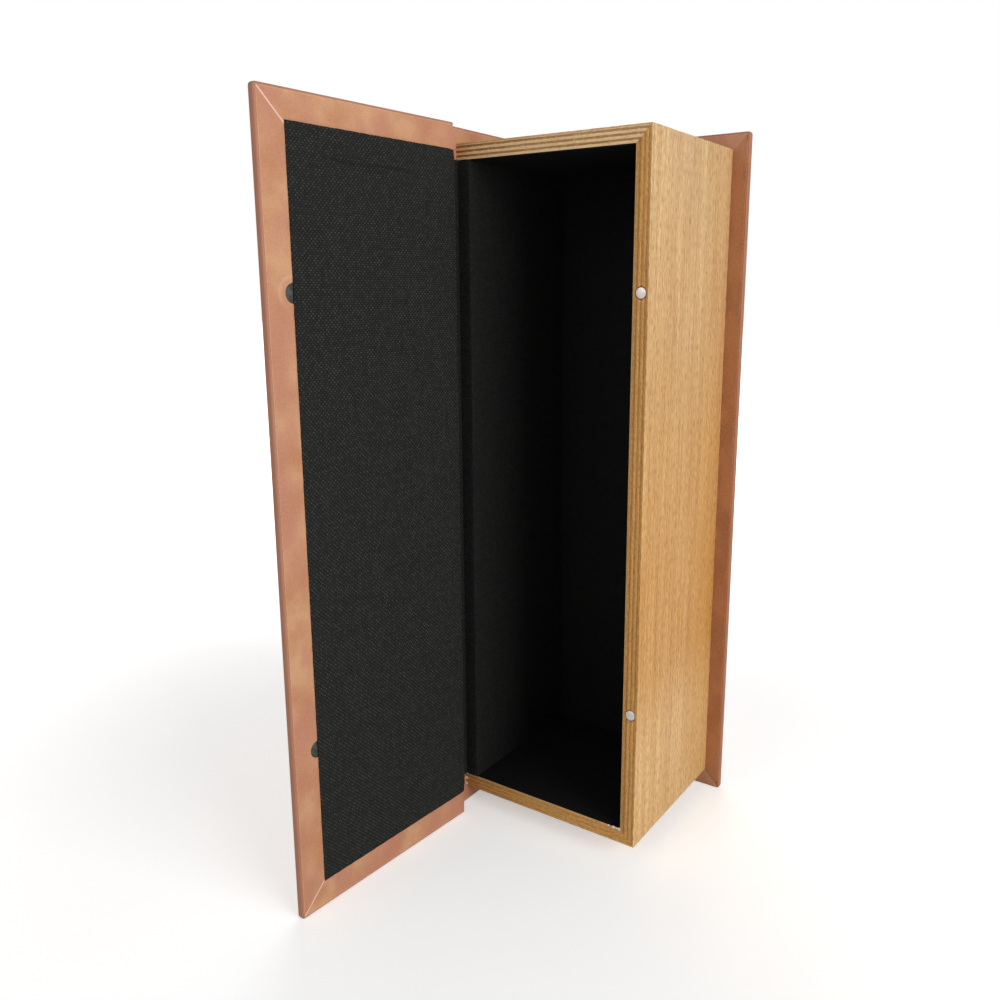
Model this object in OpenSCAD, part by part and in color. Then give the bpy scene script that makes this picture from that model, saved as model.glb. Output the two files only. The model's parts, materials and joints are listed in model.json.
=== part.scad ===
// Book-style box for one wine bottle.
// A plywood tray is glued into a leather-wrapped book case of three boards.
// The front board is the cover. It swings on a strip of leather with two creases
// and is held shut by two magnets in the tray's edge.
// Sizes are in millimetres. The tray opens towards -Y, the spine is on -X.

/* [Tray] */
// Outer width of the tray, spine side to fore edge
tray_w = 103; // [96:1:125]
// Outer depth of the tray, front edge to back board
tray_d = 89; // [85:1:115]
// Outer height of the tray
tray_h = 335; // [310:1:370]
// Thickness of the tray's walls, veneer included
wall_t = 7.5; // [7:0.1:9]
// Thickness of the veneer on the tray's outer faces
veneer_t = 0.6; // [0.4:0.1:1]
// Plies that show on a wall's front edge
ply_count = 7; // [5:2:9]
// How far every second ply stands back from the front edge
ply_recess = 0.2; // [0.1:0.05:0.4]
// Thickness of the panel that closes the tray's back
panel_t = 3; // [2:0.5:5]

/* [Case] */
// Thickness of the grey boards in the covers and the spine
board_t = 2.5; // [2:0.1:3.5]
// Thickness of the leather
leather_t = 0.6; // [0.5:0.05:0.8]
// How far the case stands above the tray
head_overhang = 7.8; // [5:0.1:10]
// How far the case stands below the tray
tail_overhang = 9.6; // [5:0.1:10]
// How far the back cover stands past the tray's fore edge
back_overhang = 8.6; // [6:0.1:11]
// How far the closed front cover stands past the tray's fore edge
cover_overhang = 9.8; // [6:0.1:11]
// Width of the leather turned in over the boards' inner faces
turn_in = 15; // [14:0.5:20]
// Radius of the wrapped boards' long edges
edge_r = 0.9; // [0.6:0.1:1.2]
// Radius of the wrapped boards' corners
corner_r = 1.5; // [1:0.1:2]
// Width of the cut between two turn-ins at a mitred corner
mitre_w = 0.25; // [0.15:0.05:0.4]
// Depth of that cut
mitre_depth = 0.42; // [0.2:0.02:0.46]
// Depth of the groove pressed into the leather at the back joint
groove_depth = 1.3; // [0.8:0.1:1.5]
// Radius of the leather's bend round the spine's back edge
joint_bend_r = 1.5; // [1.2:0.1:2]

/* [Hinge] */
// Width of the hinge strip between its two creases
joint_w = 7.7; // [7:0.1:10]
// Angle by which the front cover stands open
open_angle = 94.3; // [30:0.1:170]
// Share of the opening that the crease at the spine takes
crease_share = 0.4; // [0.35:0.01:0.45]
// Free way from a crease's axis to the leather that it does not carry
crease_clear = 0.45; // [0.45:0.05:0.6]
// Space between facing layers at the spine's front edge when the cover is shut
fold_gap = 0.3; // [0.2:0.05:0.5]

/* [Lining] */
// Thickness of the black cloth lining
lining_t = 0.5; // [0.4:0.05:0.7]
// Leather left bare beside the cover's lining, at its free edge
lining_fore = 13.2; // [11:0.1:13.9]
// Leather left bare above the cover's lining
lining_head = 12; // [10:0.5:13.5]
// Leather left bare below the cover's lining
lining_tail = 13; // [10:0.5:13.5]
// Wood left bare in front of the tray's linings
lining_inset = 0.4; // [0.2:0.1:1]
// Space between the shut cover's lining and the tray
cover_gap = 0.3; // [0.2:0.05:0.6]

/* [Magnets] */
// Diameter of the tray's magnets
magnet_d = 5; // [4:0.1:5.4]
// Length of the tray's magnets
magnet_l = 5; // [3:0.5:10]
// Space round a magnet in its hole
magnet_space = 0.4; // [0.1:0.05:0.5]
// How far a magnet's face lies behind the front edge
magnet_sink = 0.15; // [0.05:0.05:0.4]
// Distance of each magnet from the tray's end
magnet_inset = 69; // [40:1:100]
// Diameter of the cover's steel discs
disc_d = 7.8; // [6:0.1:9]
// Thickness of the cover's steel discs
disc_t = 1.8; // [1.2:0.1:2]
// Space round a disc in its hole
disc_space = 0.2; // [0.1:0.05:0.4]
// How far a disc's face lies below the leather
disc_sink = 0.2; // [0.1:0.05:0.3]

/* [Hidden] */
$fn = 48;

// Reach of a cutting block past the face that it cuts
over = 1;

// Case: thickness of a wrapped board, and the case's lowest and highest level
cover_t = board_t + 2 * leather_t;
case_z0 = -tail_overhang;
case_z1 = tray_h + head_overhang;
case_h = case_z1 - case_z0;

// The spine's inner face is x = 0, and its joints' leather is turned in down to the
// level of the tray's cavity
spine_in_head = head_overhang + wall_t;
spine_in_tail = tail_overhang + wall_t;

// The shut front cover, inner and outer face
shut_in_y = -(cover_gap + lining_t);
shut_out_y = shut_in_y - cover_t;

// Creases of the hinge strip, in the middle of the leather, with the cover shut
spine_crease = [-cover_t + leather_t / 2, shut_out_y + leather_t / 2];
cover_crease = spine_crease + [joint_w, 0];
spine_turn = crease_share * open_angle;
cover_turn = open_angle - spine_turn;

// Hinge edge of both covers' boards, and each cover's width from there
hinge_x = cover_crease[0] + leather_t;
cover_w = tray_w + cover_overhang - hinge_x;
back_w = tray_w + back_overhang - hinge_x;

// Inner face of the strip's leather. The strip's folded ends and the leather round the
// spine's front edge lie one behind the other between it and the spine board.
strip_in_y = spine_crease[1] + leather_t / 2;
spine_front_y = strip_in_y + leather_t + fold_gap + leather_t;
spine_back_y = tray_d + cover_t - (spine_front_y - shut_out_y);

// Depth of the tray's cavity before it is lined
cavity_d = tray_d - panel_t;

// The plies that stand back, each as its two distances in from a wall's outer face
ply_t = wall_t / ply_count;
recessed_plies = [for (i = [1:2:ply_count - 2]) [i, i + 1] * ply_t];

// Magnets in the fore-edge wall, and the discs that they meet on the cover
magnet_x = tray_w - wall_t / 2;
upper_z = tray_h - magnet_inset;
lower_z = magnet_inset;
disc_x = magnet_x - hinge_x;

// Corners of the part in plan, each with its radius, for the middle of its base
function turned(p, c, a) =
  let (d = p - c) c + [d[0] * cos(a) + d[1] * sin(a), -d[0] * sin(a) + d[1] * cos(a)];
function opened(p) = turned(turned(p, cover_crease, cover_turn), spine_crease, spine_turn);
cover_x0 = cover_crease[0] + crease_clear;
cover_x1 = hinge_x + cover_w;
lining_x1 = cover_x1 - lining_fore;
plan_corners = [
  [opened([cover_x0, shut_out_y]), 0],
  [opened([hinge_x, shut_in_y + lining_t]), 0],
  [opened([lining_x1, shut_in_y + lining_t]), 0],
  [opened([cover_x1 - edge_r, shut_out_y + edge_r]), edge_r],
  [opened([cover_x1 - edge_r, shut_in_y - edge_r]), edge_r],
  [turned(cover_crease, spine_crease, spine_turn), leather_t / 2],
  [[-cover_t, spine_front_y], 0],
  [[tray_w + back_overhang, tray_d + cover_t], 0]
];
plan_min = [for (i = [0, 1]) min([for (c = plan_corners) c[0][i] - c[1]])];
plan_max = [for (i = [0, 1]) max([for (c = plan_corners) c[0][i] + c[1]])];
plan_mid = (plan_min + plan_max) / 2;

// Colours
plywood_colour = [0.66, 0.49, 0.27];
veneer_colour = [0.84, 0.68, 0.46];
panel_colour = [0.62, 0.47, 0.32];
cloth_colour = [0.13, 0.13, 0.13];
leather_colour = [0.76, 0.55, 0.42];
back_leather_colour = [0.64, 0.41, 0.27];
board_colour = [0.55, 0.53, 0.5];
nickel_colour = [0.85, 0.82, 0.79];
steel_colour = [0.33, 0.31, 0.3];

// ---- Places ----

// Puts the base's middle at the origin
module in_frame() {
  translate([-plan_mid[0], -plan_mid[1], -case_z0]) children();
}

// Turns about an upright line through point c of the plan, opening outwards
module turned_about(c, a) {
  translate([c[0], c[1], 0]) rotate([0, 0, -a]) translate([-c[0], -c[1], 0]) children();
}

// Carries what rides on the hinge strip, drawn with the cover shut
module with_strip() {
  in_frame() turned_about(spine_crease, spine_turn) children();
}

// Carries what rides on the cover, drawn with the cover shut
module with_cover() {
  with_strip() turned_about(cover_crease, cover_turn) children();
}

// Places at the tray's head what is drawn at its foot
module at_head() {
  translate([0, 0, tray_h]) mirror([0, 0, 1]) children();
}

// Places a wrapped board drawn from its hinge edge, outer face and lower edge
module at_front_cover() {
  translate([hinge_x, shut_out_y, case_z0]) children();
}

module at_back_cover() {
  translate([hinge_x, tray_d + cover_t, case_z0]) mirror([0, 1, 0]) children();
}

// ---- Shared shapes ----

// Extrudes a front view (x, z) backwards from y = y0
module deep(y0, depth) {
  translate([0, y0 + depth, 0]) rotate([90, 0, 0]) linear_extrude(depth) children();
}

// Extrudes a plan view upwards from z0 to z1
module upright(z0, z1) {
  translate([0, 0, z0]) linear_extrude(z1 - z0) children();
}

// Block between two corners
module block(low, high) {
  translate(low) cube(high - low);
}

// Rectangle from the origin with its four corners rounded
module rounded_rect(size, r) {
  translate([r, 0]) square([size[0] - 2 * r, size[1]]);
  translate([0, r]) square([size[0], size[1] - 2 * r]);
  for (x = [r, size[0] - r], y = [r, size[1] - r]) translate([x, y]) circle(r);
}

// Rectangle from the origin, rounded at its far side only
module half_rounded_rect(size, r) {
  square([size[0] - r, size[1]]);
  translate([0, r]) square([size[0], size[1] - 2 * r]);
  for (y = [r, size[1] - r]) translate([size[0] - r, y]) circle(r);
}

// Plate of a wrapped board: soft along its free side and at both ends
module wrapped_plate(w) {
  intersection() {
    linear_extrude(case_h) half_rounded_rect([w, cover_t], edge_r);
    rotate([90, 0, 90]) linear_extrude(w) rounded_rect([cover_t, case_h], edge_r);
    deep(0, cover_t) half_rounded_rect([w, case_h], corner_r);
  }
}

// Grey board, with its middle raised level with the turned-in leather
module cover_board(w) {
  block([0, leather_t, leather_t], [w - leather_t, cover_t - leather_t, case_h - leather_t]);
  block([0, cover_t - leather_t, turn_in], [w - turn_in, cover_t, case_h - turn_in]);
}

// Cut between two turn-ins, from the free corner inwards at 45 degrees
module mitre_cut(w, z, lean) {
  reach = turn_in / cos(lean) + mitre_w;
  translate([w, cover_t - mitre_depth, z]) rotate([0, lean, 0])
    translate([-reach, 0, -mitre_w / 2]) cube([reach, mitre_depth + over, mitre_w]);
}

// Leather round a cover's board, turned in at its head, its tail and its free side
module board_leather(w) {
  difference() {
    wrapped_plate(w);
    cover_board(w);
    mitre_cut(w, case_h, -45);
    mitre_cut(w, 0, 45);
  }
}

// Holes for both discs, from the cover's inner face down to depth
module disc_holes(r, depth) {
  for (z = [lower_z, upper_z]) translate([disc_x, cover_t + over, z - case_z0])
    rotate([90, 0, 0]) cylinder(r = r, h = over + depth);
}

// Magnet hole or magnet in the fore-edge wall
module magnet_rod(z, r, y0, y1) {
  translate([magnet_x, y1, z]) rotate([90, 0, 0]) cylinder(r = r, h = y1 - y0);
}

// Leather folded over a joint: a sheet with a second layer at its head and tail
module folded_joint(z_head, z_tail) {
  upright(case_z0, case_z1) children(0);
  upright(case_z0, z_tail) children(1);
  upright(z_head, case_z1) children(1);
}

// ---- Tray ----

// Wall across the tray's end, drawn at the foot and mitred at the fore edge
module end_wall() {
  x1 = tray_w - veneer_t;
  difference() {
    deep(0, tray_d) polygon([
      [0, veneer_t], [x1, veneer_t], [tray_w - wall_t, wall_t], [0, wall_t]
    ]);
    for (p = recessed_plies) block([-over, -over, p[0]], [tray_w, ply_recess, p[1]]);
  }
}

module top_wall() {
  color(plywood_colour) in_frame() at_head() end_wall();
}

module bottom_wall() {
  color(plywood_colour) in_frame() end_wall();
}

module spine_wall() {
  color(plywood_colour) in_frame()
    block([0, lining_t, wall_t], [wall_t, tray_d, tray_h - wall_t]);
}

module fore_edge_wall() {
  x0 = tray_w - wall_t;
  x1 = tray_w - veneer_t;
  color(plywood_colour) in_frame() difference() {
    deep(0, tray_d) polygon([
      [x0, wall_t], [x1, veneer_t], [x1, tray_h - veneer_t], [x0, tray_h - wall_t]
    ]);
    for (p = recessed_plies)
      block([tray_w - p[1], -over, 0], [tray_w - p[0], ply_recess, tray_h]);
    for (z = [lower_z, upper_z])
      magnet_rod(z, magnet_d / 2 + magnet_space, -over, magnet_sink + magnet_l);
  }
}

module back_panel() {
  color(panel_colour) in_frame()
    block([wall_t, cavity_d, wall_t], [tray_w - wall_t, tray_d, tray_h - wall_t]);
}

module end_veneer() {
  block([0, 0, 0], [tray_w - veneer_t, tray_d, veneer_t]);
}

module top_veneer() {
  color(veneer_colour) in_frame() at_head() end_veneer();
}

module bottom_veneer() {
  color(veneer_colour) in_frame() end_veneer();
}

module fore_edge_veneer() {
  color(veneer_colour) in_frame() block([tray_w - veneer_t, 0, 0], [tray_w, tray_d, tray_h]);
}

// ---- Tray linings ----

// Cloth down the spine-side wall, round its front edge and over the spine's front edge
module spine_side_lining() {
  y1 = cavity_d - lining_t;
  x1 = wall_t + lining_t;
  spine_x0 = leather_t - cover_t;
  fold_y = spine_front_y - lining_t;
  color(cloth_colour) in_frame() upright(wall_t, tray_h - wall_t) polygon([
    [wall_t, y1], [x1, y1], [x1, 0], [lining_t, 0], [lining_t, fold_y], [spine_x0, fold_y],
    [spine_x0, spine_front_y], [0, spine_front_y], [0, lining_t], [wall_t, lining_t]
  ]);
}

module end_lining() {
  block([wall_t + lining_t, lining_inset, wall_t],
        [tray_w - wall_t - lining_t, cavity_d - lining_t, wall_t + lining_t]);
}

module top_lining() {
  color(cloth_colour) in_frame() at_head() end_lining();
}

module bottom_lining() {
  color(cloth_colour) in_frame() end_lining();
}

module fore_edge_lining() {
  x1 = tray_w - wall_t;
  color(cloth_colour) in_frame() block(
    [x1 - lining_t, lining_inset, wall_t],
    [x1, cavity_d - lining_t, tray_h - wall_t]);
}

module back_lining() {
  color(cloth_colour) in_frame() block(
    [wall_t, cavity_d - lining_t, wall_t],
    [tray_w - wall_t, cavity_d, tray_h - wall_t]);
}

// ---- Magnets ----

module upper_magnet() {
  color(nickel_colour) in_frame()
    magnet_rod(upper_z, magnet_d / 2, magnet_sink, magnet_sink + magnet_l);
}

module lower_magnet() {
  color(nickel_colour) in_frame()
    magnet_rod(lower_z, magnet_d / 2, magnet_sink, magnet_sink + magnet_l);
}

// ---- Spine and back of the case ----

// Grey board of the spine, raised level with the turned-in leather
module spine_core() {
  block([leather_t - cover_t, spine_front_y, case_z0 + leather_t],
        [-leather_t, spine_back_y, case_z1 - leather_t]);
  block([-leather_t, spine_front_y, case_z0 + spine_in_tail],
        [0, spine_back_y, case_z1 - spine_in_head]);
}

module spine_board() {
  color(board_colour) in_frame() spine_core();
}

// Leather on the spine's outer face, folded over its ends and in on its inner face
module spine_leather() {
  y0 = spine_front_y - leather_t;
  sheet_y0 = spine_crease[1] + crease_clear;
  color(leather_colour) in_frame() difference() {
    intersection() {
      union() {
        block([-cover_t, y0, case_z0], [0, spine_back_y, case_z1]);
        block([-cover_t, sheet_y0, case_z0], [leather_t - cover_t, spine_front_y, case_z1]);
      }
      translate([-cover_t, 0, case_z0]) deep(sheet_y0 - over, spine_back_y - sheet_y0 + 2 * over)
        rounded_rect([cover_t, case_h], edge_r);
    }
    spine_core();
    block([leather_t - cover_t, y0 - over, case_z0 + spine_in_tail],
          [over, spine_front_y, case_z1 - spine_in_head]);
  }
}

// Middle line of the back joint's leather: round the spine's edge, then a shallow groove
joint_steps = 16;
bend_x = leather_t / 2 - cover_t + joint_bend_r;
bend_y = tray_d + cover_t - leather_t / 2 - joint_bend_r;
function groove_at(t) = [
  bend_x + (hinge_x - bend_x) * t,
  bend_y + joint_bend_r - groove_depth * (1 - cos(360 * t)) / 2
];
function groove_normal(t) =
  let (s = groove_depth * PI * sin(360 * t) / (hinge_x - bend_x), n = norm([s, 1])) [s, 1] / n;
function back_joint_line(out) = concat(
  [[leather_t / 2 - cover_t - out, spine_back_y]],
  [for (i = [0:joint_steps / 2]) let (a = 180 - 180 * i / joint_steps)
    [bend_x, bend_y] + (joint_bend_r + out) * [cos(a), sin(a)]],
  [for (i = [1:joint_steps]) let (t = i / joint_steps) groove_at(t) + out * groove_normal(t)]
);
function backwards(list) = [for (i = [len(list) - 1:-1:0]) list[i]];

// Plan of one layer of the back joint's leather, between two distances from its middle line
module back_joint_layer(out, in) {
  polygon(concat(back_joint_line(out), backwards(back_joint_line(in))));
}

// Leather from the spine round to the back cover, with the pressed groove of a book's joint
module back_joint_leather() {
  color(back_leather_colour) in_frame()
    folded_joint(case_z1 - spine_in_head, case_z0 + spine_in_tail) {
      back_joint_layer(leather_t / 2, -leather_t / 2);
      back_joint_layer(-leather_t / 2, -leather_t);
    }
}

module back_board() {
  color(board_colour) in_frame() at_back_cover() cover_board(back_w);
}

module back_cover_leather() {
  color(back_leather_colour) in_frame() at_back_cover() board_leather(back_w);
}

// ---- Hinge strip ----

// Layer on the strip's inner face, set in from both creases
module strip_layer(t) {
  x0 = spine_crease[0] + leather_t;
  x1 = cover_crease[0] - leather_t / 2;
  translate([x0, strip_in_y]) square([x1 - x0, t]);
}

// Leather between the creases, round at both, with its head and tail folded in
module hinge_leather() {
  color(leather_colour) with_strip()
    folded_joint(case_z1 - spine_in_head, case_z0 + spine_in_tail) {
      union() {
        translate([spine_crease[0], spine_crease[1] - leather_t / 2]) square([joint_w, leather_t]);
        for (c = [spine_crease, cover_crease]) translate(c) circle(leather_t / 2);
      }
      strip_layer(leather_t);
    }
}

// Cloth on the strip's inner face, between its folded ends
module hinge_lining() {
  color(cloth_colour) with_strip()
    upright(case_z0 + spine_in_tail, case_z1 - spine_in_head)
      strip_layer(lining_t);
}

// ---- Front cover ----

module front_board() {
  color(board_colour) with_cover() at_front_cover() difference() {
    cover_board(cover_w);
    disc_holes(disc_d / 2 + disc_space, disc_sink + disc_t);
  }
}

// The cover's leather, with its outer sheet running on to the crease
module front_cover_leather() {
  color(leather_colour) with_cover() at_front_cover() {
    difference() {
      board_leather(cover_w);
      disc_holes(disc_d / 2 + disc_space, disc_sink + disc_t);
    }
    block([cover_x0 - hinge_x, 0, 0], [0, leather_t, case_h]);
  }
}

module cover_lining() {
  color(cloth_colour) with_cover() block(
    [hinge_x, shut_in_y, case_z0 + lining_tail],
    [lining_x1, shut_in_y + lining_t, case_z1 - lining_head]);
}

// Steel disc in the cover, under the edge of the lining
module cover_disc(z) {
  color(steel_colour) with_cover() translate([magnet_x, shut_in_y - disc_sink, z])
    rotate([90, 0, 0]) cylinder(r = disc_d / 2, h = disc_t);
}

module upper_disc() {
  cover_disc(upper_z);
}

module lower_disc() {
  cover_disc(lower_z);
}

top_wall();
bottom_wall();
spine_wall();
fore_edge_wall();
back_panel();
top_veneer();
bottom_veneer();
fore_edge_veneer();
spine_side_lining();
top_lining();
bottom_lining();
fore_edge_lining();
back_lining();
upper_magnet();
lower_magnet();
spine_board();
spine_leather();
back_joint_leather();
back_board();
back_cover_leather();
hinge_leather();
hinge_lining();
front_board();
front_cover_leather();
cover_lining();
upper_disc();
lower_disc();
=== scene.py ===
"""Dresses a book-style box for one bottle: leather case, plywood tray, black cloth, magnets."""

import functools
import json
import logging
import math
from collections.abc import Callable, Sequence
from dataclasses import dataclass, field
from enum import Enum

import bmesh
import bpy
import numpy as np
from mathutils import Matrix, Vector


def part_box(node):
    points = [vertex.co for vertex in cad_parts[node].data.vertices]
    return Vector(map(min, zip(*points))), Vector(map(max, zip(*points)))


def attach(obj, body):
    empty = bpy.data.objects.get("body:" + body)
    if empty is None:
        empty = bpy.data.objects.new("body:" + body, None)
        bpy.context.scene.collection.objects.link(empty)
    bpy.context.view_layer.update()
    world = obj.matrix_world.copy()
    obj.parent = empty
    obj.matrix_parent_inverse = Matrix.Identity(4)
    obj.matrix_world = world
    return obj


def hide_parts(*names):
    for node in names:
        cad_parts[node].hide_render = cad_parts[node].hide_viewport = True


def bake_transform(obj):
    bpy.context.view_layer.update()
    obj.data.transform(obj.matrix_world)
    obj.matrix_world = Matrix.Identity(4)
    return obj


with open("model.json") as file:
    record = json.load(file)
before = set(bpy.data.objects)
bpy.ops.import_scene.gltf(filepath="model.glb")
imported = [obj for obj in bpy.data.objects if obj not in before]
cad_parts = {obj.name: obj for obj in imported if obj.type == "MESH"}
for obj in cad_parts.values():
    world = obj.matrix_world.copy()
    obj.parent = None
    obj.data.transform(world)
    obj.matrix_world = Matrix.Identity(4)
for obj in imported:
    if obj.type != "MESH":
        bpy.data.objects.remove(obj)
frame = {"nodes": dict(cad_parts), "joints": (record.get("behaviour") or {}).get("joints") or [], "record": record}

LOG = logging.getLogger("bottle_box")
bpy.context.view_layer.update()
MM = 0.001
Point = tuple[float, float]
RingPoint = tuple[float, float, float, float, float]
Rule = Callable[[float], float]
Rgb = tuple[int, int, int]
Material = bpy.types.Material
Piece = bpy.types.Object
Socket = bpy.types.NodeSocket


class Body(str, Enum):
    """The bodies that pieces ride on."""

    BOX = "box"
    STRIP = "hinge_strip"
    COVER = "front_cover"


class Slot(str, Enum):
    """The slots for the pieces' materials."""

    BOARD = "board"
    CLOTH = "cloth"
    LEATHER = "leather"
    NICKEL = "nickel"
    PANEL = "panel"
    PLYWOOD = "plywood"
    STEEL = "steel"
    VENEER = "veneer"


class Axis(Enum):
    """An axis of the frame, as the number of its coordinate."""

    X = 0
    Y = 1
    Z = 2


# ---- Node graphs ----


def linear(colour: Rgb) -> tuple[float, float, float, float]:
    """Turns a screen colour into the linear colour that shaders take.

    Args:
        colour: Red, green and blue, 0 to 255.

    Returns:
        The colour with an alpha of 1.
    """
    parts = [v / 255 for v in colour]
    return (*[v / 12.92 if v < 0.04045 else ((v + 0.055) / 1.055) ** 2.4 for v in parts], 1.0)


class Graph:
    """A node tree with short calls for the nodes that the finishes use."""

    def __init__(self, tree: bpy.types.NodeTree) -> None:
        """Takes the tree that the calls add to."""
        self.tree = tree

    def add(self, kind: str, inputs: dict | None = None, **settings: object) -> bpy.types.Node:
        """Adds a node.

        Args:
            kind: The node's type, without the leading ShaderNode where it has one.
            inputs: A value or a socket for each input, by name or number.
            **settings: The node's own properties.

        Returns:
            The new node.
        """
        name = kind if kind.startswith(("Geometry", "Function", "Node")) else f"ShaderNode{kind}"
        node = self.tree.nodes.new(name)
        for key, value in settings.items():
            setattr(node, key, value)
        for key, value in (inputs or {}).items():
            self.feed(node.inputs[key], value)
        return node

    def feed(self, socket: Socket, value: object) -> None:
        """Links a socket to value, or sets it.

        Args:
            socket: The input to fill.
            value: Another node's output, or a plain value.
        """
        if isinstance(value, Socket):
            self.tree.links.new(value, socket)
        else:
            socket.default_value = value

    def math(self, operation: str, *values: object) -> Socket:
        """Returns the result of a Math node on up to three values."""
        return self.add("Math", dict(enumerate(values)), operation=operation).outputs[0]

    def plus(self, a: object, b: object) -> Socket:
        """Returns the sum of a and b."""
        return self.math("ADD", a, b)

    def minus(self, a: object, b: object) -> Socket:
        """Returns a less b."""
        return self.math("SUBTRACT", a, b)

    def times(self, a: object, b: object) -> Socket:
        """Returns a multiplied by b."""
        return self.math("MULTIPLY", a, b)

    def times_plus(self, a: object, b: object, c: object) -> Socket:
        """Returns a multiplied by b, plus c."""
        return self.math("MULTIPLY_ADD", a, b, c)

    def apart(self, a: object, b: object) -> Socket:
        """Returns how far a and b lie apart."""
        return self.math("ABSOLUTE", self.minus(a, b))

    def radius(self, x: object, y: object) -> Socket:
        """Returns the distance of the point x, y from the origin."""
        return self.math("SQRT", self.times_plus(x, x, self.times(y, y)))

    def ramp(self, factor: object, low: float, high: float) -> Socket:
        """Returns factor stretched so that low gives 0 and high gives 1, smoothly."""
        stretch = {"Value": factor, "From Min": low, "From Max": high}
        return self.add("MapRange", stretch, interpolation_type="SMOOTHSTEP").outputs[0]

    def mix(self, factor: object, a: object, b: object, blend: str = "MIX") -> Socket:
        """Mixes two colours.

        Args:
            factor: Share of the second colour.
            a: The first colour.
            b: The second colour.
            blend: Blender's name for the way of mixing.

        Returns:
            The mixed colour.
        """
        node = self.add("Mix", data_type="RGBA", blend_type=blend)
        for number, value in ((0, factor), (6, a), (7, b)):
            self.feed(node.inputs[number], value)
        return node.outputs[2]

    def glaze(self, colour: object, mask: object, share: object, tint: Rgb, blend: str = "MIX") -> Socket:
        """Lays a tint over a colour.

        Args:
            colour: The colour below.
            mask: Where the tint lies, 0 to 1.
            share: How strong it is where the mask is 1.
            tint: The tint, as a screen colour.
            blend: Blender's name for the way of mixing.

        Returns:
            The mixed colour.
        """
        return self.mix(self.times(mask, share), colour, linear(tint), blend)

    def noise(self, vector: object, scale: float, detail: float = 2.0) -> Socket:
        """Returns a noise of about 0 to 1 that has scale cells in a unit."""
        return self.add("TexNoise", {"Vector": vector, "Scale": scale, "Detail": detail}).outputs[0]

    def scaled(self, vector: object, factors: Sequence[float]) -> Socket:
        """Returns vector with each coordinate multiplied by its factor."""
        return self.add("Mapping", {"Vector": vector, "Scale": tuple(factors)}).outputs[0]

    def joined(self, *values: object) -> Socket:
        """Returns a vector of up to three coordinates."""
        return self.add("CombineXYZ", dict(enumerate(values))).outputs[0]

    def parts(self, vector: object) -> list[Socket]:
        """Returns the three coordinates of vector."""
        return list(self.add("SeparateXYZ", {0: vector}).outputs)


class Shader(Graph):
    """A material's graph, with its Principled node and its coordinates in millimetres."""

    def __init__(self, name: str) -> None:
        """Makes the material.

        Args:
            name: The material's name.
        """
        self.material = bpy.data.materials.new(name)
        self.material.use_nodes = True
        super().__init__(self.material.node_tree)
        self.surface = self.tree.nodes["Principled BSDF"]

    def object_mm(self) -> Socket:
        """Returns Object coordinates in millimetres."""
        return self.scaled(self.add("TexCoord").outputs["Object"], [1 / MM] * 3)

    def flat_mm(self) -> Socket:
        """Returns the place on the sheet before it was folded, in millimetres."""
        return self.scaled(self.add("UVMap", uv_map=FLAT_MAP).outputs[0], [1 / MM] * 3)

    def bump(self, height: object, distance: float, below: Socket | None = None) -> Socket:
        """Adds a bump.

        Args:
            height: Height, 0 to 1.
            distance: Height of 1, in millimetres.
            below: The normal that it bends, if another bump comes first.

        Returns:
            The bent normal.
        """
        inputs = {"Height": height, "Distance": distance * MM, "Strength": 1.0}
        if below is not None:
            inputs["Normal"] = below
        return self.add("Bump", inputs).outputs[0]

    def finish(self, **values: object) -> Material:
        """Fills the Principled node.

        Args:
            **values: A socket or a plain value for each input, named with _ for a space.

        Returns:
            The material.
        """
        for name, value in values.items():
            self.feed(self.surface.inputs[name.replace("_", " ")], value)
        return self.material


# ---- Finishes ----
# Sizes are in millimetres, a name with per_mm counts a noise's cells, and shares go from 0 to 1.

FLAT_MAP = "flat"
EDGE_MAP = "edge"


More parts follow.
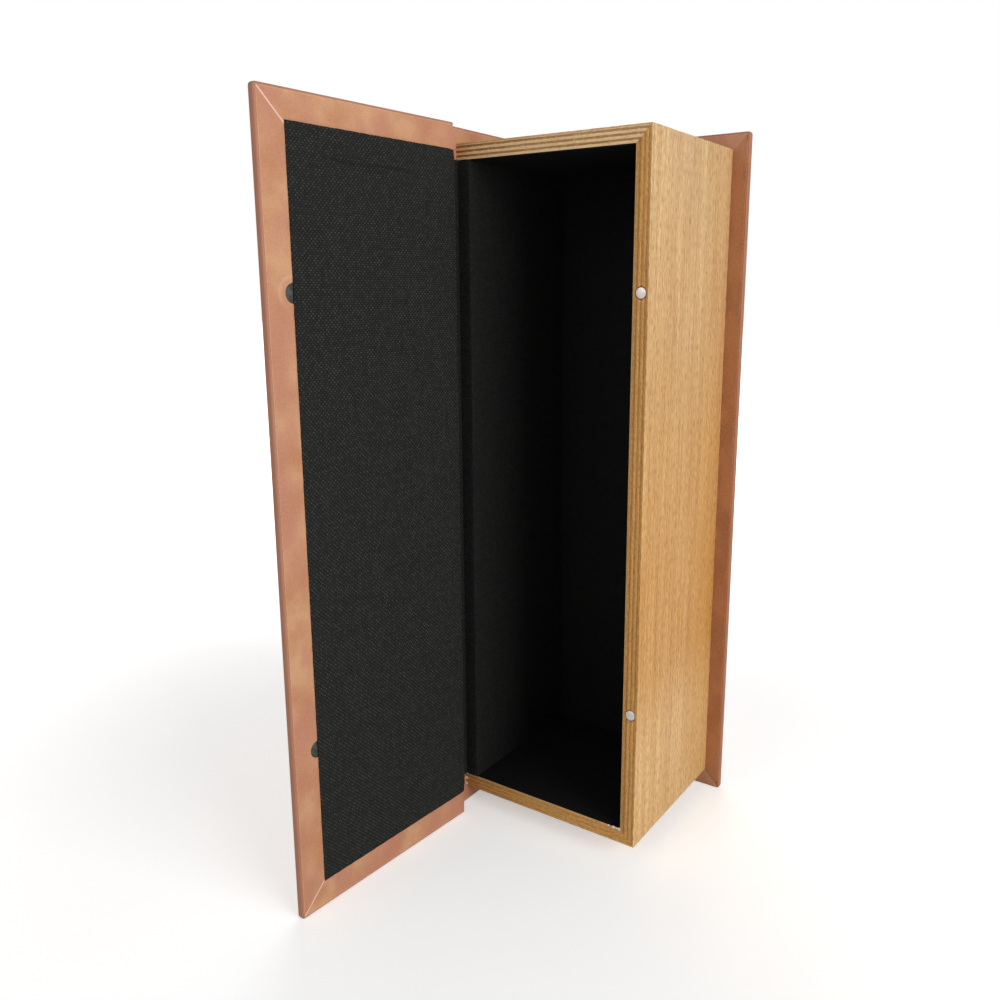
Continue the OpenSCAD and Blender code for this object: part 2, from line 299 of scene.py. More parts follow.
@dataclass(frozen=True)
class Leather:
    """Mottled tan leathercloth with a fine pressed grain, painted shade round the boards' edges and a painted
    highlight where the fold meets the face.
    """

    name: str
    light: Rgb = (210, 160, 118)
    dark: Rgb = (187, 125, 84)
    rosy: Rgb = (188, 124, 97)
    # Darker tint for the speckles, and for the painted shade round the boards' edges.
    edge: Rgb = (158, 98, 78)
    # Pale tint for the mottle, and for the painted highlights along the fold and round the pressed ring.
    pale_mottle_and_highlight: Rgb = (226, 184, 152)
    # Painted shade on the turn-in along the back board's free edge: a browner tint, and darker blotches in it.
    brown: Rgb = (174, 110, 60)
    shade_blotch: Rgb = (124, 70, 36)
    outside_share: float = 0.45
    rosy_share: float = 0.85
    shade_brown_share: float = 0.8
    shade_blotch_share: float = 0.34
    mottle_share: float = 0.16
    speckle_share: float = 0.26
    edge_shade_share: float = 0.62
    fold_highlight_share: float = 0.42
    ring_highlight_share: float = 0.3
    patch: float = 17.0
    rosy_patch: float = 0.8
    blotch_per_mm: float = 0.055
    mottle_per_mm: float = 0.9
    speckle_per_mm: float = 1.9
    dent_per_mm: float = 1.4
    dent_depth: float = 0.06
    grain: float = 0.5
    grain_depth: float = 0.05
    shade_from: float | None = None
    shade_fade: float = 1.5
    pressed_at: Point | None = None
    pressed_r: float = 6.6
    ring_width: float = 1.6
    ring_depth: float = 0.12
    ring_fade: Point = (-4.0, 5.0)

    def pressed_ring(self, s: Shader, at: Socket) -> Socket:
        """Draws a faint raised ring round a disc under the leather, strongest at its upper side; it gives the
        ring's bump and its painted highlight.

        Args:
            s: The material's graph.
            at: The place on the flat sheet.

        Returns:
            The ring's height, 0 to 1.
        """
        x, y, _ = s.parts(at)
        across, up = s.minus(x, self.pressed_at[0]), s.minus(y, self.pressed_at[1])
        ring = s.ramp(s.apart(s.radius(across, up), self.pressed_r), self.ring_width, 0.0)
        return s.times(ring, s.ramp(s.minus(up, across), *self.ring_fade))

    def ground(self, s: Shader, at: Socket, turned: Socket) -> Socket:
        """Mixes the patches of colour, which are weaker on the outside, and for the case paints shade on the
        turn-in along the back board's free edge.

        Args:
            s: The material's graph.
            at: The place on the flat sheet.
            turned: 1 where the leather is turned in, and 0 on the outside.

        Returns:
            The colour before grain, speckle and the painted shade and highlight at the edges.
        """
        share = s.times_plus(turned, 1 - self.outside_share, self.outside_share)
        patches = s.minus(s.ramp(s.noise(at, 1 / self.patch, 5.0), 0.28, 0.72), 0.5)
        colour = s.mix(s.times_plus(patches, share, 0.5), linear(self.dark), linear(self.light))
        hue = s.noise(s.scaled(at, (1, 0.6, 1)), self.rosy_patch / self.patch, 4.0)
        colour = s.glaze(colour, s.ramp(hue, 0.4, 0.64), s.times(share, self.rosy_share), self.rosy)
        if self.shade_from is None:
            return colour
        # Painted shade: past that point of the flat sheet the leather turns browner, with darker blotches.
        in_shade = s.ramp(s.parts(at)[0], self.shade_from, self.shade_from + self.shade_fade)
        colour = s.glaze(colour, in_shade, self.shade_brown_share, self.brown)
        blotch = s.ramp(s.noise(s.scaled(at, (1.6, 1, 1)), self.blotch_per_mm, 3.0), 0.4, 0.62)
        return s.glaze(colour, in_shade, s.times(blotch, self.shade_blotch_share), self.shade_blotch)

    def material(self) -> Material:
        """Builds the material on the sheet's flat coordinates.

        Returns:
            The material.
        """
        s = Shader(self.name)
        at = s.flat_mm()
        edge_band, turned, _ = s.parts(s.add("UVMap", uv_map=EDGE_MAP).outputs[0])
        colour = self.ground(s, at, turned)
        mottle = s.noise(at, self.mottle_per_mm, 4.0)
        speckle = s.noise(at, self.speckle_per_mm)
        # Painted highlight: a pale dotted line where the fold round a board's edge meets the face.
        fold = s.times(s.ramp(s.apart(edge_band, 0.55), 0.45, 0.0), s.ramp(mottle, 0.3, 0.55))
        for mask, share, tint in (
            (s.ramp(mottle, 0.35, 0.7), self.mottle_share, self.pale_mottle_and_highlight),
            (s.ramp(speckle, 0.45, 0.75), self.speckle_share, self.edge),
            # Painted shade: a darker band on the leather round each board's edge.
            (s.ramp(edge_band, 0.5, 1.0), self.edge_shade_share, self.edge),
            # Painted highlight along the fold.
            (fold, self.fold_highlight_share, self.pale_mottle_and_highlight),
        ):
            colour = s.glaze(colour, mask, share, tint)
        dents = s.noise(s.scaled(at, (1, 1.5, 1)), self.dent_per_mm, 4.0)
        normal = s.bump(dents, self.dent_depth)
        normal = s.bump(s.noise(at, 1 / self.grain), self.grain_depth, normal)
        if self.pressed_at:
            ring = self.pressed_ring(s, at)
            # Painted highlight on the pressed ring, strongest at its upper side.
            colour = s.glaze(colour, ring, self.ring_highlight_share, self.pale_mottle_and_highlight)
            normal = s.bump(ring, self.ring_depth, normal)
        return s.finish(Base_Color=colour, Roughness=s.ramp(mottle, -0.5, 1.3), Normal=normal)


@dataclass(frozen=True)
class CutEdge:
    """The pale, fibrous backing that shows where the leather is cut."""

    name: str = "cut_leather_edge"
    light: Rgb = (240, 208, 192)
    dark: Rgb = (226, 180, 158)
    fibres_per_mm: float = 3.0
    fibre_depth: float = 0.04
    roughness: float = 0.85

    def material(self) -> Material:
        """Builds the material on Object coordinates.

        Returns:
            The material.
        """
        s = Shader(self.name)
        fibres = s.noise(s.object_mm(), self.fibres_per_mm, 3.0)
        colour = s.mix(fibres, linear(self.light), linear(self.dark))
        return s.finish(Base_Color=colour, Roughness=self.roughness, Normal=s.bump(fibres, self.fibre_depth))


@dataclass(frozen=True)
class Cloth:
    """Black book cloth in a plain weave, with painted light on the threads' crowns, painted shade in the hollows
    and on one set of threads, and single threads that catch the light.
    """

    name: str
    shade: Rgb = (12, 13, 12)
    # Colour of the threads' crowns in painted light.
    thread: Rgb = (66, 68, 64)
    plain_share: float = 0.26
    yarn_share: float = 0.24
    speck_share: float = 0.5
    # How bright the threads of one direction are painted against the other: painted shade on that set.
    weft_painted_light: float = 0.3
    pitch: float = 0.95
    weave_depth: float = 0.14
    yarn_cells: Point = (0.9, 0.03)
    roughness: float = 0.82
    specular: float = 0.2
    on_object: bool = False
    across: Axis = Axis.Y
    along: Axis = Axis.Z
    wrinkle: tuple[Point, Point] | None = None
    wrinkle_wave: float = 1.1
    wrinkle_half: float = 1.3
    wrinkle_depth: float = 0.25
    wrinkle_shade: float = 0.5

    def wrinkled(self, s: Shader) -> Socket:
        """Draws a faint wavy wrinkle between two places of the flat sheet.

        Args:
            s: The material's graph.

        Returns:
            The wrinkle's height, 0 to 1.
        """
        x, y, _ = s.parts(s.flat_mm())
        (x0, y0), (x1, y1) = self.wrinkle
        share = s.math("DIVIDE", s.minus(x, x0), x1 - x0)
        wave = s.times(s.math("SINE", s.times(share, 2 * math.pi)), self.wrinkle_wave)
        line = s.plus(s.times_plus(share, y1 - y0, y0), wave)
        near = s.ramp(s.apart(y, line), self.wrinkle_half, 0.0)
        return s.times(near, s.ramp(s.apart(share, 0.5), 0.5, 0.3))

    def place(self, s: Shader) -> list[Socket]:
        """Finds the place in the weave.

        Args:
            s: The material's graph.

        Returns:
            The two coordinates that the weave follows, counted in threads.
        """
        at = s.parts(s.object_mm() if self.on_object else s.flat_mm())
        pair = (at[self.across.value], at[self.along.value]) if self.on_object else at[:2]
        return [s.math("DIVIDE", v, self.pitch) for v in pair]

    def material(self) -> Material:
        """Builds the weave from two sets of threads that pass over and under, with painted light and shade on
        them.

        Returns:
            The material.
        """
        s = Shader(self.name)
        u, v = self.place(s)
        cell_u, cell_v = (s.math("FLOOR", c) for c in (u, v))
        over = s.math("PINGPONG", s.plus(cell_u, cell_v), 1.0)
        round_u, round_v = (s.math("SINE", s.times(s.math("FRACT", c), math.pi)) for c in (u, v))
        crown = [
            s.times(s.math("POWER", a, 0.5), s.times_plus(b, 0.5, 0.5))
            for a, b in ((round_u, round_v), (round_v, round_u))
        ]
        height = s.add("Mix", {0: over, 2: crown[0], 3: crown[1]}).outputs[0]
        cell = s.joined(cell_u, cell_v)
        speck = s.add("TexWhiteNoise", {"Vector": cell}, noise_dimensions="2D").outputs[0]
        short, long = self.yarn_cells
        yarns = [s.noise(s.scaled(cell, (*way, 1)), 1.0, 1.0) for way in ((short, long), (long, short))]
        bright = s.times_plus(s.plus(*yarns), self.yarn_share, self.plain_share)
        bright = s.times_plus(s.math("POWER", speck, 3.0), self.speck_share, bright)
        # Painted shade on the threads of one direction.
        upper = s.times_plus(over, 1 - self.weft_painted_light, self.weft_painted_light)
        # Painted light on the threads' crowns, painted shade in the hollows between them.
        lit = s.times(s.times(s.math("POWER", height, 1.2), upper), s.ramp(bright, 0.1, 0.9))
        normal = s.bump(height, self.weave_depth)
        if self.wrinkle:
            fold = self.wrinkled(s)
            lit = s.times(lit, s.times_plus(fold, -self.wrinkle_shade, 1.0))
            normal = s.bump(fold, self.wrinkle_depth, normal)
        colour = s.mix(lit, linear(self.shade), linear(self.thread))
        s.finish(Specular_IOR_Level=self.specular)
        return s.finish(Base_Color=colour, Roughness=self.roughness, Normal=normal)


@dataclass(frozen=True)
class Streaks:
    """One kind of mark along the grain: its cell, its noise, where it starts and how strong it is."""

    width: float
    length: float
    detail: float
    low: float
    high: float
    share: float

    def mask(self, s: Shader, along: Socket, across: Socket) -> Socket:
        """Finds where the marks show.

        Args:
            s: The material's graph.
            along: The coordinate along the grain.
            across: The coordinate across it.

        Returns:
            The mask, 0 to 1.
        """
        place = s.joined(s.math("DIVIDE", across, self.width), s.math("DIVIDE", along, self.length))
        return s.ramp(s.noise(place, 1.0, self.detail), self.low, self.high)


@dataclass(frozen=True)
class Veneer:
    """Quarter-cut golden veneer: straight fine streaks and short dark pores."""

    name: str
    grain: Axis
    across: Axis
    light: Rgb = (232, 198, 147)
    cloud: Rgb = (214, 176, 132)
    ripe: Rgb = (222, 170, 98)
    foot: Rgb = (238, 196, 134)
    pore: Rgb = (133, 91, 46)
    streak_tint: Rgb = (202, 175, 133)
    speck_tint: Rgb = (214, 198, 178)
    clouds: Streaks = Streaks(30.0, 110.0, 2.0, 0.35, 0.7, 0.45)
    bands: Streaks = Streaks(6.0, 260.0, 2.0, 0.32, 0.68, 0.25)
    lines: Streaks = Streaks(1.3, 80.0, 4.0, 0.38, 0.62, 0.42)
    specks: Streaks = Streaks(0.8, 3.4, 3.0, 0.40, 0.66, 0.72)
    pores: Streaks = Streaks(0.8, 6.0, 2.0, 0.58, 0.70, 0.4)
    ripe_from: float = 360.0
    ripe_to: float = 105.0
    foot_from: float = 105.0
    foot_fade: float = 55.0
    wander: float = 2.2
    wander_per_mm: float = 0.012
    pore_depth: float = 0.05
    line_relief: float = 0.3

    def material(self) -> Material:
        """Builds the material on Object coordinates.

        Returns:
            The material.
        """
        s = Shader(self.name)
        at = s.parts(s.object_mm())
        along = at[self.grain.value]
        wander = s.noise(s.joined(s.times(along, self.wander_per_mm)), 1.0)
        across = s.times_plus(wander, self.wander, at[self.across.value])
        lines, pores = (kind.mask(s, along, across) for kind in (self.lines, self.pores))
        clouds = self.clouds.mask(s, along, across)
        colour = s.glaze(linear(self.light), clouds, self.clouds.share, self.cloud)
        colour = s.mix(s.ramp(along, self.ripe_from, self.ripe_to), colour, linear(self.ripe))
        foot = s.ramp(along, self.foot_from, self.foot_from - self.foot_fade)
        colour = s.mix(foot, colour, linear(self.foot))
        for mask, share, tint in (
            (lines, self.lines.share, self.streak_tint),
            (self.bands.mask(s, along, across), self.bands.share, self.streak_tint),
            (self.specks.mask(s, along, across), self.specks.share, self.speck_tint),
        ):
            colour = s.glaze(colour, mask, share, tint, "MULTIPLY")
        colour = s.glaze(colour, pores, self.pores.share, self.pore)
        relief = s.minus(s.times(lines, -self.line_relief), pores)
        normal = s.bump(relief, self.pore_depth)
        return s.finish(Base_Color=colour, Roughness=s.ramp(lines, -1.0, 2.4), Normal=normal)


@dataclass(frozen=True)
class Plywood:
    """Plywood seen on its edge: pale plies along the wall, brown ones across it."""

    name: str
    layer: Axis
    grain: Axis
    outer: float
    inward: int
    wall: float = 7.5
    plies: int = 7
    contrast: float = 1.0
    band: float = 0.0
    band_fade: float = 0.4
    lined: Point | None = None
    lined_fade: float = 14.0
    faint_share: float = 0.2
    light: Rgb = (248, 211, 158)
    dark: Rgb = (156, 106, 46)
    rim: Rgb = (242, 212, 172)
    pore: Rgb = (100, 62, 22)
    warm: Rgb = (172, 122, 64)
    speck: Rgb = (136, 90, 36)
    shadow: tuple[float, float, float] = (0.82, 0.75, 0.6)
    streaked: float = 0.35
    specked: float = 0.25
    stained: float = 0.25
    pored: float = 0.75
    warmed: float = 0.5
    banded: float = 0.45
    glinting: float = 0.35
    rimmed: float = 0.7
    waver: float = 0.35
    pores_per_mm: float = 2.2
    relief: float = 0.08
    roughness: float = 0.66

    def spread(self, s: Shader, *places: tuple[Socket, float]) -> Socket:
        """Makes a noise on up to three coordinates.

        Args:
            s: The material's graph.
            *places: Each coordinate with the noise's cells in one of its units.

        Returns:
            The noise.
        """
        return s.noise(s.joined(*(s.times(value, cells) for value, cells in places)), 1.0, 3.0)

    def shown(self, s: Shader, along: Socket, number: Socket) -> Socket:
        """Finds how strongly the brown plies show.

        Args:
            s: The material's graph.
            along: The coordinate along the wall.
            number: The ply's number.

        Returns:
            Their share along the wall, 0 to 1.
        """
        stain = s.ramp(self.spread(s, (along, 0.014), (number, 0.12)), 0.38, 0.6)
        return s.times(s.times_plus(stain, self.stained, 1 - self.stained), self.contrast)

    def material(self) -> Material:
        """Builds the plies from the distance to the wall's outer face.

        Returns:
            The material.
        """
        s = Shader(self.name)
        at = s.parts(s.object_mm())
        along, depth = at[self.grain.value], at[Axis.Y.value]
        flat = s.times_plus(at[self.layer.value], self.inward, -self.inward * self.outer)
        slow = self.spread(s, (along, 0.05), (flat, 0.3))
        quick = self.spread(s, (along, 0.7), (flat, 0.9))
        distance = s.plus(flat, s.times_plus(s.plus(slow, quick), self.waver, -self.waver))
        ply = s.math("DIVIDE", distance, self.wall / self.plies)
        number = s.math("FLOOR", ply)
        clear = s.ramp(s.apart(s.math("FRACT", ply), 0.5), 0.5, 0.34)
        crossed = s.times(s.math("PINGPONG", number, 1.0), clear)
        tone = self.spread(s, (along, 0.03), (depth, 0.03), (number, 1.0))
        lines = s.ramp(self.spread(s, (along, 0.12), (ply, 5.0), (depth, 1.0)), 0.35, 0.7)
        specks = s.ramp(self.spread(s, (along, 0.55), (flat, 2.4), (depth, 1.0)), 0.46, 0.66)
        pores = s.ramp(s.noise(s.object_mm(), self.pores_per_mm), 0.5, 0.68)
        shadow = tuple(round(v * f) for v, f in zip(self.light, self.shadow))
        pale = s.glaze(linear(self.light), lines, self.streaked, shadow)
        brown = s.glaze(linear(self.dark), pores, self.pored, self.pore)
        brown = s.glaze(brown, tone, self.warmed, self.warm)
        share = s.times(crossed, self.shown(s, along, number))
        if self.lined:
            middle, half = sum(self.lined) / 2, (self.lined[1] - self.lined[0]) / 2
            inside = s.ramp(s.apart(along, middle), half + self.lined_fade, half - self.lined_fade)
            share = s.times(share, s.times_plus(inside, 1 - self.faint_share, self.faint_share))
        colour = s.mix(share, pale, brown)
        if self.band:
            inner = s.ramp(flat, self.wall - self.band - self.band_fade, self.wall - self.band)
            colour = s.mix(s.times(inner, self.banded), colour, brown)
        for mask, strength, tint in (
            (specks, self.specked, self.speck),
            (s.ramp(quick, 0.52, 0.7), self.glinting, self.rim),
            (s.ramp(s.apart(distance, self.wall), 0.5, 0.1), self.rimmed, self.rim),
        ):
            colour = s.glaze(colour, mask, strength, tint)
        relief = s.minus(s.minus(s.times(lines, 0.4), crossed), s.times(specks, 0.6))
        return s.finish(Base_Color=colour, Roughness=self.roughness, Normal=s.bump(relief, self.relief))


@dataclass(frozen=True)
class Metal:
    """Brushed or worn metal of the magnets and the discs."""

    name: str
    bright: Rgb
    dull: Rgb
    metallic: float
    roughness: float
    worn_rougher: float = 0.15
    scratch_depth: float = 0.012

    def material(self) -> Material:
        """Builds the material on Object coordinates.

        Returns:
            The material.
        """
        s = Shader(self.name)
        at = s.object_mm()
        spots = s.ramp(s.noise(at, 0.5, 4.0), 0.35, 0.7)
        scratch = s.noise(s.scaled(at, (1.0, 1.0, 9.0)), 2.0)
        colour = s.mix(spots, linear(self.bright), linear(self.dull))
        rough = s.times_plus(spots, self.worn_rougher, self.roughness)
        s.finish(Metallic=self.metallic)
        return s.finish(Base_Color=colour, Roughness=rough, Normal=s.bump(scratch, self.scratch_depth))


@dataclass(frozen=True)
class PlainFibre:
    """Grey board, dried glue and loose threads: one colour with a fibrous mottle."""

    name: str
    light: Rgb
    dark: Rgb
    roughness: float = 0.9
    cell: float = 1.2
    depth: float = 0.06

    def material(self) -> Material:
        """Builds the material on Object coordinates.

        Returns:
            The material.
        """
        s = Shader(self.name)
        fibres = s.noise(s.object_mm(), 1 / self.cell, 5.0)
        colour = s.mix(s.ramp(fibres, 0.3, 0.7), linear(self.light), linear(self.dark))
        return s.finish(Base_Color=colour, Roughness=self.roughness, Normal=s.bump(fibres, self.depth))


# ---- Where things are ----


@dataclass
class Hinge:
    """The two creases of the hinge strip, in plan, in millimetres from the tray's front corner."""

    corner: Vector
    spine_crease: Vector = field(init=False)
    cover_crease: Vector = field(init=False)
    strip_turn: float = field(init=False)
    cover_turn: float = field(init=False)

    def __post_init__(self) -> None:
        """Reads the creases and how far they stand open from the joints."""
        joints = {j["name"]: j for j in frame["joints"]}
        coupling = frame["record"]["behaviour"]["couplings"][0]
        self.spine_crease, open_crease = (
            self.plan(joints[name]["pos_m"]) for name in ("spine_crease", "cover_crease")
        )
        self.cover_turn = -math.radians(joints["cover_crease"]["range_deg"][0])
        self.strip_turn = self.cover_turn * coupling["ratio"]
        self.cover_crease = self.turned(open_crease, self.spine_crease, -self.strip_turn)

    def plan(self, place: Sequence[float]) -> Vector:
        """Returns a point of the frame as a point of the plan."""
        return (Vector(place[:2]) - self.corner.xy) / MM

    @staticmethod
    def turned(point: Point | Vector, centre: Vector, angle: float) -> Vector:
        """Turns a point clockwise.

        Args:
            point: The point.
            centre: What it turns about.
            angle: How far it turns, in radians.

        Returns:
            The turned point.
        """
        d = Vector(point) - centre
        c, s = math.cos(angle), math.sin(angle)
        return centre + Vector((d.x * c + d.y * s, d.y * c - d.x * s))

    def on_strip(self, x: float, y: float) -> Vector:
        """Returns where a point of the strip stands, from its place in the shut box."""
        return self.turned((x, y), self.spine_crease, self.strip_turn)

    def on_cover(self, x: float, y: float) -> Vector:
        """Returns where a point of the cover stands, from its place in the shut box."""
        on_strip = self.turned((x, y), self.cover_crease, self.cover_turn)
        return self.turned(on_strip, self.spine_crease, self.strip_turn)

    def reach(self, y: float, level: float) -> float:
        """Finds how far out a line of the cover has gone where the open cover reaches a level.

        Args:
            y: The line's place in the shut box.
            level: The level in y of the open box.

        Returns:
            The line's x there, in the shut box.
        """
        first, second = self.on_cover(0, y), self.on_cover(1, y)
        return (level - first.y) / (second.y - first.y)


@dataclass(eq=False)
class Layout:
    """Sizes in millimetres, with x, y and z counted from the tray's front corner at the spine.

    Attributes:
        leather: Thickness of the leather.
        skin: Thickness of the sheet of leather in the scene, a little less than the solids'.
        board: Thickness of a board with its leather.
        fold: Thickness of the leather folded double, where no board is.
        cloth: Thickness of the cloth.
        turn_in: How far the leather is turned in over a board's inner face.
        origin: The tray's front corner, in the frame.
        hinge: The creases.
    """

    leather: float = 0.6
    skin: float = 0.5
    board: float = 3.7
    fold: float = 1.15
    cloth: float = 0.5
    turn_in: float = 15.0
    origin: Vector = field(init=False)
    hinge: Hinge = field(init=False)

    def __post_init__(self) -> None:
        """Finds the tray's front corner at the spine and reads the hinge."""
        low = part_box("top_wall")[0]
        self.origin = Vector((low[0], low[1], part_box("bottom_veneer")[0][2]))
        self.hinge = Hinge(self.origin)

    @functools.cache
    def box(self, node: str) -> tuple[Vector, Vector]:
        """Returns the lowest and highest corner of a node."""
        return tuple((Vector(c) - self.origin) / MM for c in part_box(node))

    def world(self, x: float, y: float, z: float) -> Vector:
        """Returns a point of the layout as a point of the frame."""
        return self.origin + Vector((x, y, z)) * MM

    @property
    def case_z(self) -> tuple[float, float]:
        """Lowest and highest level of the case."""
        low, high = self.box("back_cover_leather")
        return low.z, high.z

    @property
    def tray(self) -> Vector:
        """Width, depth and height of the tray."""
        return self.box("fore_edge_veneer")[1]


# ---- Paths in plan ----


@dataclass(eq=False)
class PlanPath:
    """A line in plan with rounded corners, which gives a place and an inward side at any distance."""

    inward: int
    points: list[Vector] = field(default_factory=list)
    stations: list[float] = field(default_factory=list)
    places: np.ndarray = field(init=False)
    sides: np.ndarray = field(init=False)

    def line_to(self, end: Vector, step: float) -> "PlanPath":
        """Goes straight on.

        Args:
            end: Where the line ends.
            step: Distance between its stations, about.

        Returns:
            The path itself.
        """
        start = self.points[-1]
        count = max(1, round((end - start).length / step))
        self.points += [start.lerp(end, (i + 1) / count) for i in range(count)]
        return self

    def rounded(self, corner: Vector, towards: Vector, radius: float, count: int, step: float) -> "PlanPath":
        """Goes to corner and turns there towards another point on an arc.

        Args:
            corner: Where the two straight lines would meet.
            towards: A point on the line that leaves the corner.
            radius: The arc's radius.
            count: Stations on the arc.
            step: Distance between the stations before it.

        Returns:
            The path itself.
        """
        into, out = (corner - self.points[-1]).normalized(), (towards - corner).normalized()
        turn = math.atan2(into.x * out.y - into.y * out.x, into.dot(out))
        reach = radius * math.tan(abs(turn) / 2)
        start = corner - into * reach
        self.line_to(start, step)
        side = Vector((-into.y, into.x)) * math.copysign(1.0, turn)
        centre = start + side * radius
        for i in range(1, count + 1):
            a = abs(turn) * i / count
            self.points.append(centre - side * radius * math.cos(a) + into * radius * math.sin(a))
        return self

    def close(self) -> "PlanPath":
        """Works out the distance of each station from the start, and the way inwards.

        Returns:
            The path itself.
        """
        gaps = [(b - a).length for a, b in zip(self.points, self.points[1:])]
        self.stations = [0.0, *np.cumsum(gaps)]
        self.places = np.array(self.points)
        along = np.gradient(self.places, np.array(self.stations), axis=0)
        along /= np.linalg.norm(along, axis=1)[:, None]
        self.sides = np.stack([along[:, 1], -along[:, 0]], 1) * self.inward
        return self

    @functools.cache
    def ahead(self, s: float) -> Vector:
        """Returns the direction in which the path goes on at distance s."""
        return (self.at(s, 0.0) - self.at(s - 0.5, 0.0)).normalized()

    @property
    def length(self) -> float:
        """The whole length."""
        return self.stations[-1]

    @functools.cache
    def at(self, s: float, depth: float) -> Vector:
        """Finds a point beside the path.

        Args:
            s: Distance along the path.
            depth: Distance inwards from it.

        Returns:
            The point.
        """
        x, y, nx, ny = (np.interp(s, self.stations, c) for c in (*self.places.T, *self.sides.T))
        side = Vector((nx, ny)).normalized()
        return Vector((x, y)) + side * depth


def blended_step(value: float, low: float, high: float) -> float:
    """Returns 0 below low, 1 above high and a smooth rise between them."""
    t = min(1.0, max(0.0, (value - low) / (high - low)))
    return t * t * (3 - 2 * t)


# ---- Meshes ----

SAME_PLACE = 1e-6
FLAT = math.radians(0.5)
SHARP = math.radians(35)
ROUNDED = math.radians(40)


@dataclass
class Skin:
    """Vertices, flat places, edge bands, turned-in parts and faces of one mesh while it is built."""

    layout: Layout
    places: list[Vector] = field(default_factory=list)
    flats: list[Point] = field(default_factory=list)
    edge_and_turned: list[Point] = field(default_factory=list)
    faces: list[tuple[int, ...]] = field(default_factory=list)
    cut: set[int] = field(default_factory=set)

    def vertex(self, place: Sequence[float], flat: Point, edge_band: float = 0.0, turned: float = 0.0) -> int:
        """Adds a vertex.

        Args:
            place: Where it is in the layout.
            flat: Where it is on the flat sheet.
            edge_band: 1 on the rows round a board's edge, where the leather paints shade, and else 0.
            turned: 1 where the leather is turned in, and else 0.

        Returns:
            The vertex's number.
        """
        self.places.append(self.layout.world(*place))
        self.flats.append(flat)
        self.edge_and_turned.append((edge_band, turned))
        return len(self.places) - 1

    def grid(self, rows: list[list[int]], cut: Callable[[int, int], bool] | None = None) -> None:
        """Fills rows of vertices with quads.

        Args:
            rows: The vertices' numbers, row by row.
            cut: Whether the quad in a row and column is cut leather.
        """
        for r, (a, b) in enumerate(zip(rows, rows[1:])):
            for c in range(len(a) - 1):
                if cut and cut(r, c):
                    self.cut.add(len(self.faces))
                self.faces.append((a[c], a[c + 1], b[c + 1], b[c]))

    def build(self, name: str, materials: Sequence[Material], sharp: float = 50.0) -> Piece:
        """Makes the mesh object.

        Args:
            name: The piece's name.
            materials: The main material, and the one for cut faces.
            sharp: Edges that turn more than this many degrees stay sharp.

        Returns:
            The piece, with its place in its mesh.
        """
        mesh = bpy.data.meshes.new(name)
        mesh.from_pydata([tuple(p) for p in self.places], [], self.faces)
        corners = np.array([loop.vertex_index for loop in mesh.loops])
        flat = np.array(self.flats)[corners] * MM
        edge_and_turned_by_corner = np.array(self.edge_and_turned)[corners]
        for title, values in ((FLAT_MAP, flat), (EDGE_MAP, edge_and_turned_by_corner)):
            mesh.uv_layers.new(name=title).data.foreach_set("uv", values.astype(np.float32).ravel())
        for material in materials:
            mesh.materials.append(material)
        for face in self.cut:
            mesh.polygons[face].material_index = 1
        weld(mesh)
        mesh.shade_smooth()
        mesh.set_sharp_from_angle(angle=math.radians(sharp))
        return linked(name, mesh)


def linked(name: str, mesh: bpy.types.Mesh) -> Piece:
    """Puts a mesh in the scene.

    Args:
        name: The object's name.
        mesh: Its mesh.

    Returns:
        The new object.
    """
    made = bpy.data.objects.new(name, mesh)
    bpy.context.scene.collection.objects.link(made)
    return made


def weld(mesh: bpy.types.Mesh, distance: float = 2e-6) -> None:
    """Merges doubles, drops faces that fold to nothing and turns the rest outwards.

    Args:
        mesh: The mesh to clean.
        distance: Vertices nearer than this become one.
    """
    work = bmesh.new()
    work.from_mesh(mesh)
    bmesh.ops.remove_doubles(work, verts=work.verts, dist=distance)
    bmesh.ops.dissolve_degenerate(work, edges=work.edges, dist=distance / 2)
    loose = [v for v in work.verts if not v.link_faces]
    bmesh.ops.delete(work, geom=loose, context="VERTS")
    bmesh.ops.recalc_face_normals(work, faces=work.faces)
    work.to_mesh(mesh)
    work.free()


def baked(piece: Piece) -> Piece:
    """Applies a piece's modifiers to its mesh.

    Args:
        piece: The piece.

    Returns:
        The piece itself, without modifiers.
    """
    graph = bpy.context.evaluated_depsgraph_get()
    mesh = bpy.data.meshes.new_from_object(piece.evaluated_get(graph), depsgraph=graph)
    piece.modifiers.clear()
    piece.data = mesh
    return piece


def geometry_tree(name: str, inputs: dict[str, str]) -> tuple[Graph, bpy.types.Node, bpy.types.Node]:
    """Makes a Geometry Nodes tree that takes geometry and gives geometry.

    Args:
        name: The tree's name.
        inputs: The kind of each further input, by the input's name.

    Returns:
        The tree's graph, its input node and its output node.
    """
    tree = bpy.data.node_groups.new(name, "GeometryNodeTree")
    for title, kind in {"Geometry": "Geometry", **inputs}.items():
        tree.interface.new_socket(title, in_out="INPUT", socket_type=f"NodeSocket{kind}")
    tree.interface.new_socket("Geometry", in_out="OUTPUT", socket_type="NodeSocketGeometry")
    graph = Graph(tree)
    return graph, graph.add("NodeGroupInput"), graph.add("NodeGroupOutput")


def grown(piece: Piece, tree: bpy.types.NodeTree, values: dict[str, object]) -> Piece:
    """Runs a Geometry Nodes tree on a piece and keeps the mesh that it gives.

    Args:
        piece: The piece that the tree starts from.
        tree: The tree.
        values: The tree's inputs, by name.

    Returns:
        The piece itself, with the new mesh.
    """
    modifier = piece.modifiers.new(tree.name, "NODES")
    modifier.node_group = tree
    for item in tree.interface.items_tree:
        if item.in_out == "INPUT" and item.name in values:
            modifier[item.identifier] = values[item.name]
    return baked(piece)


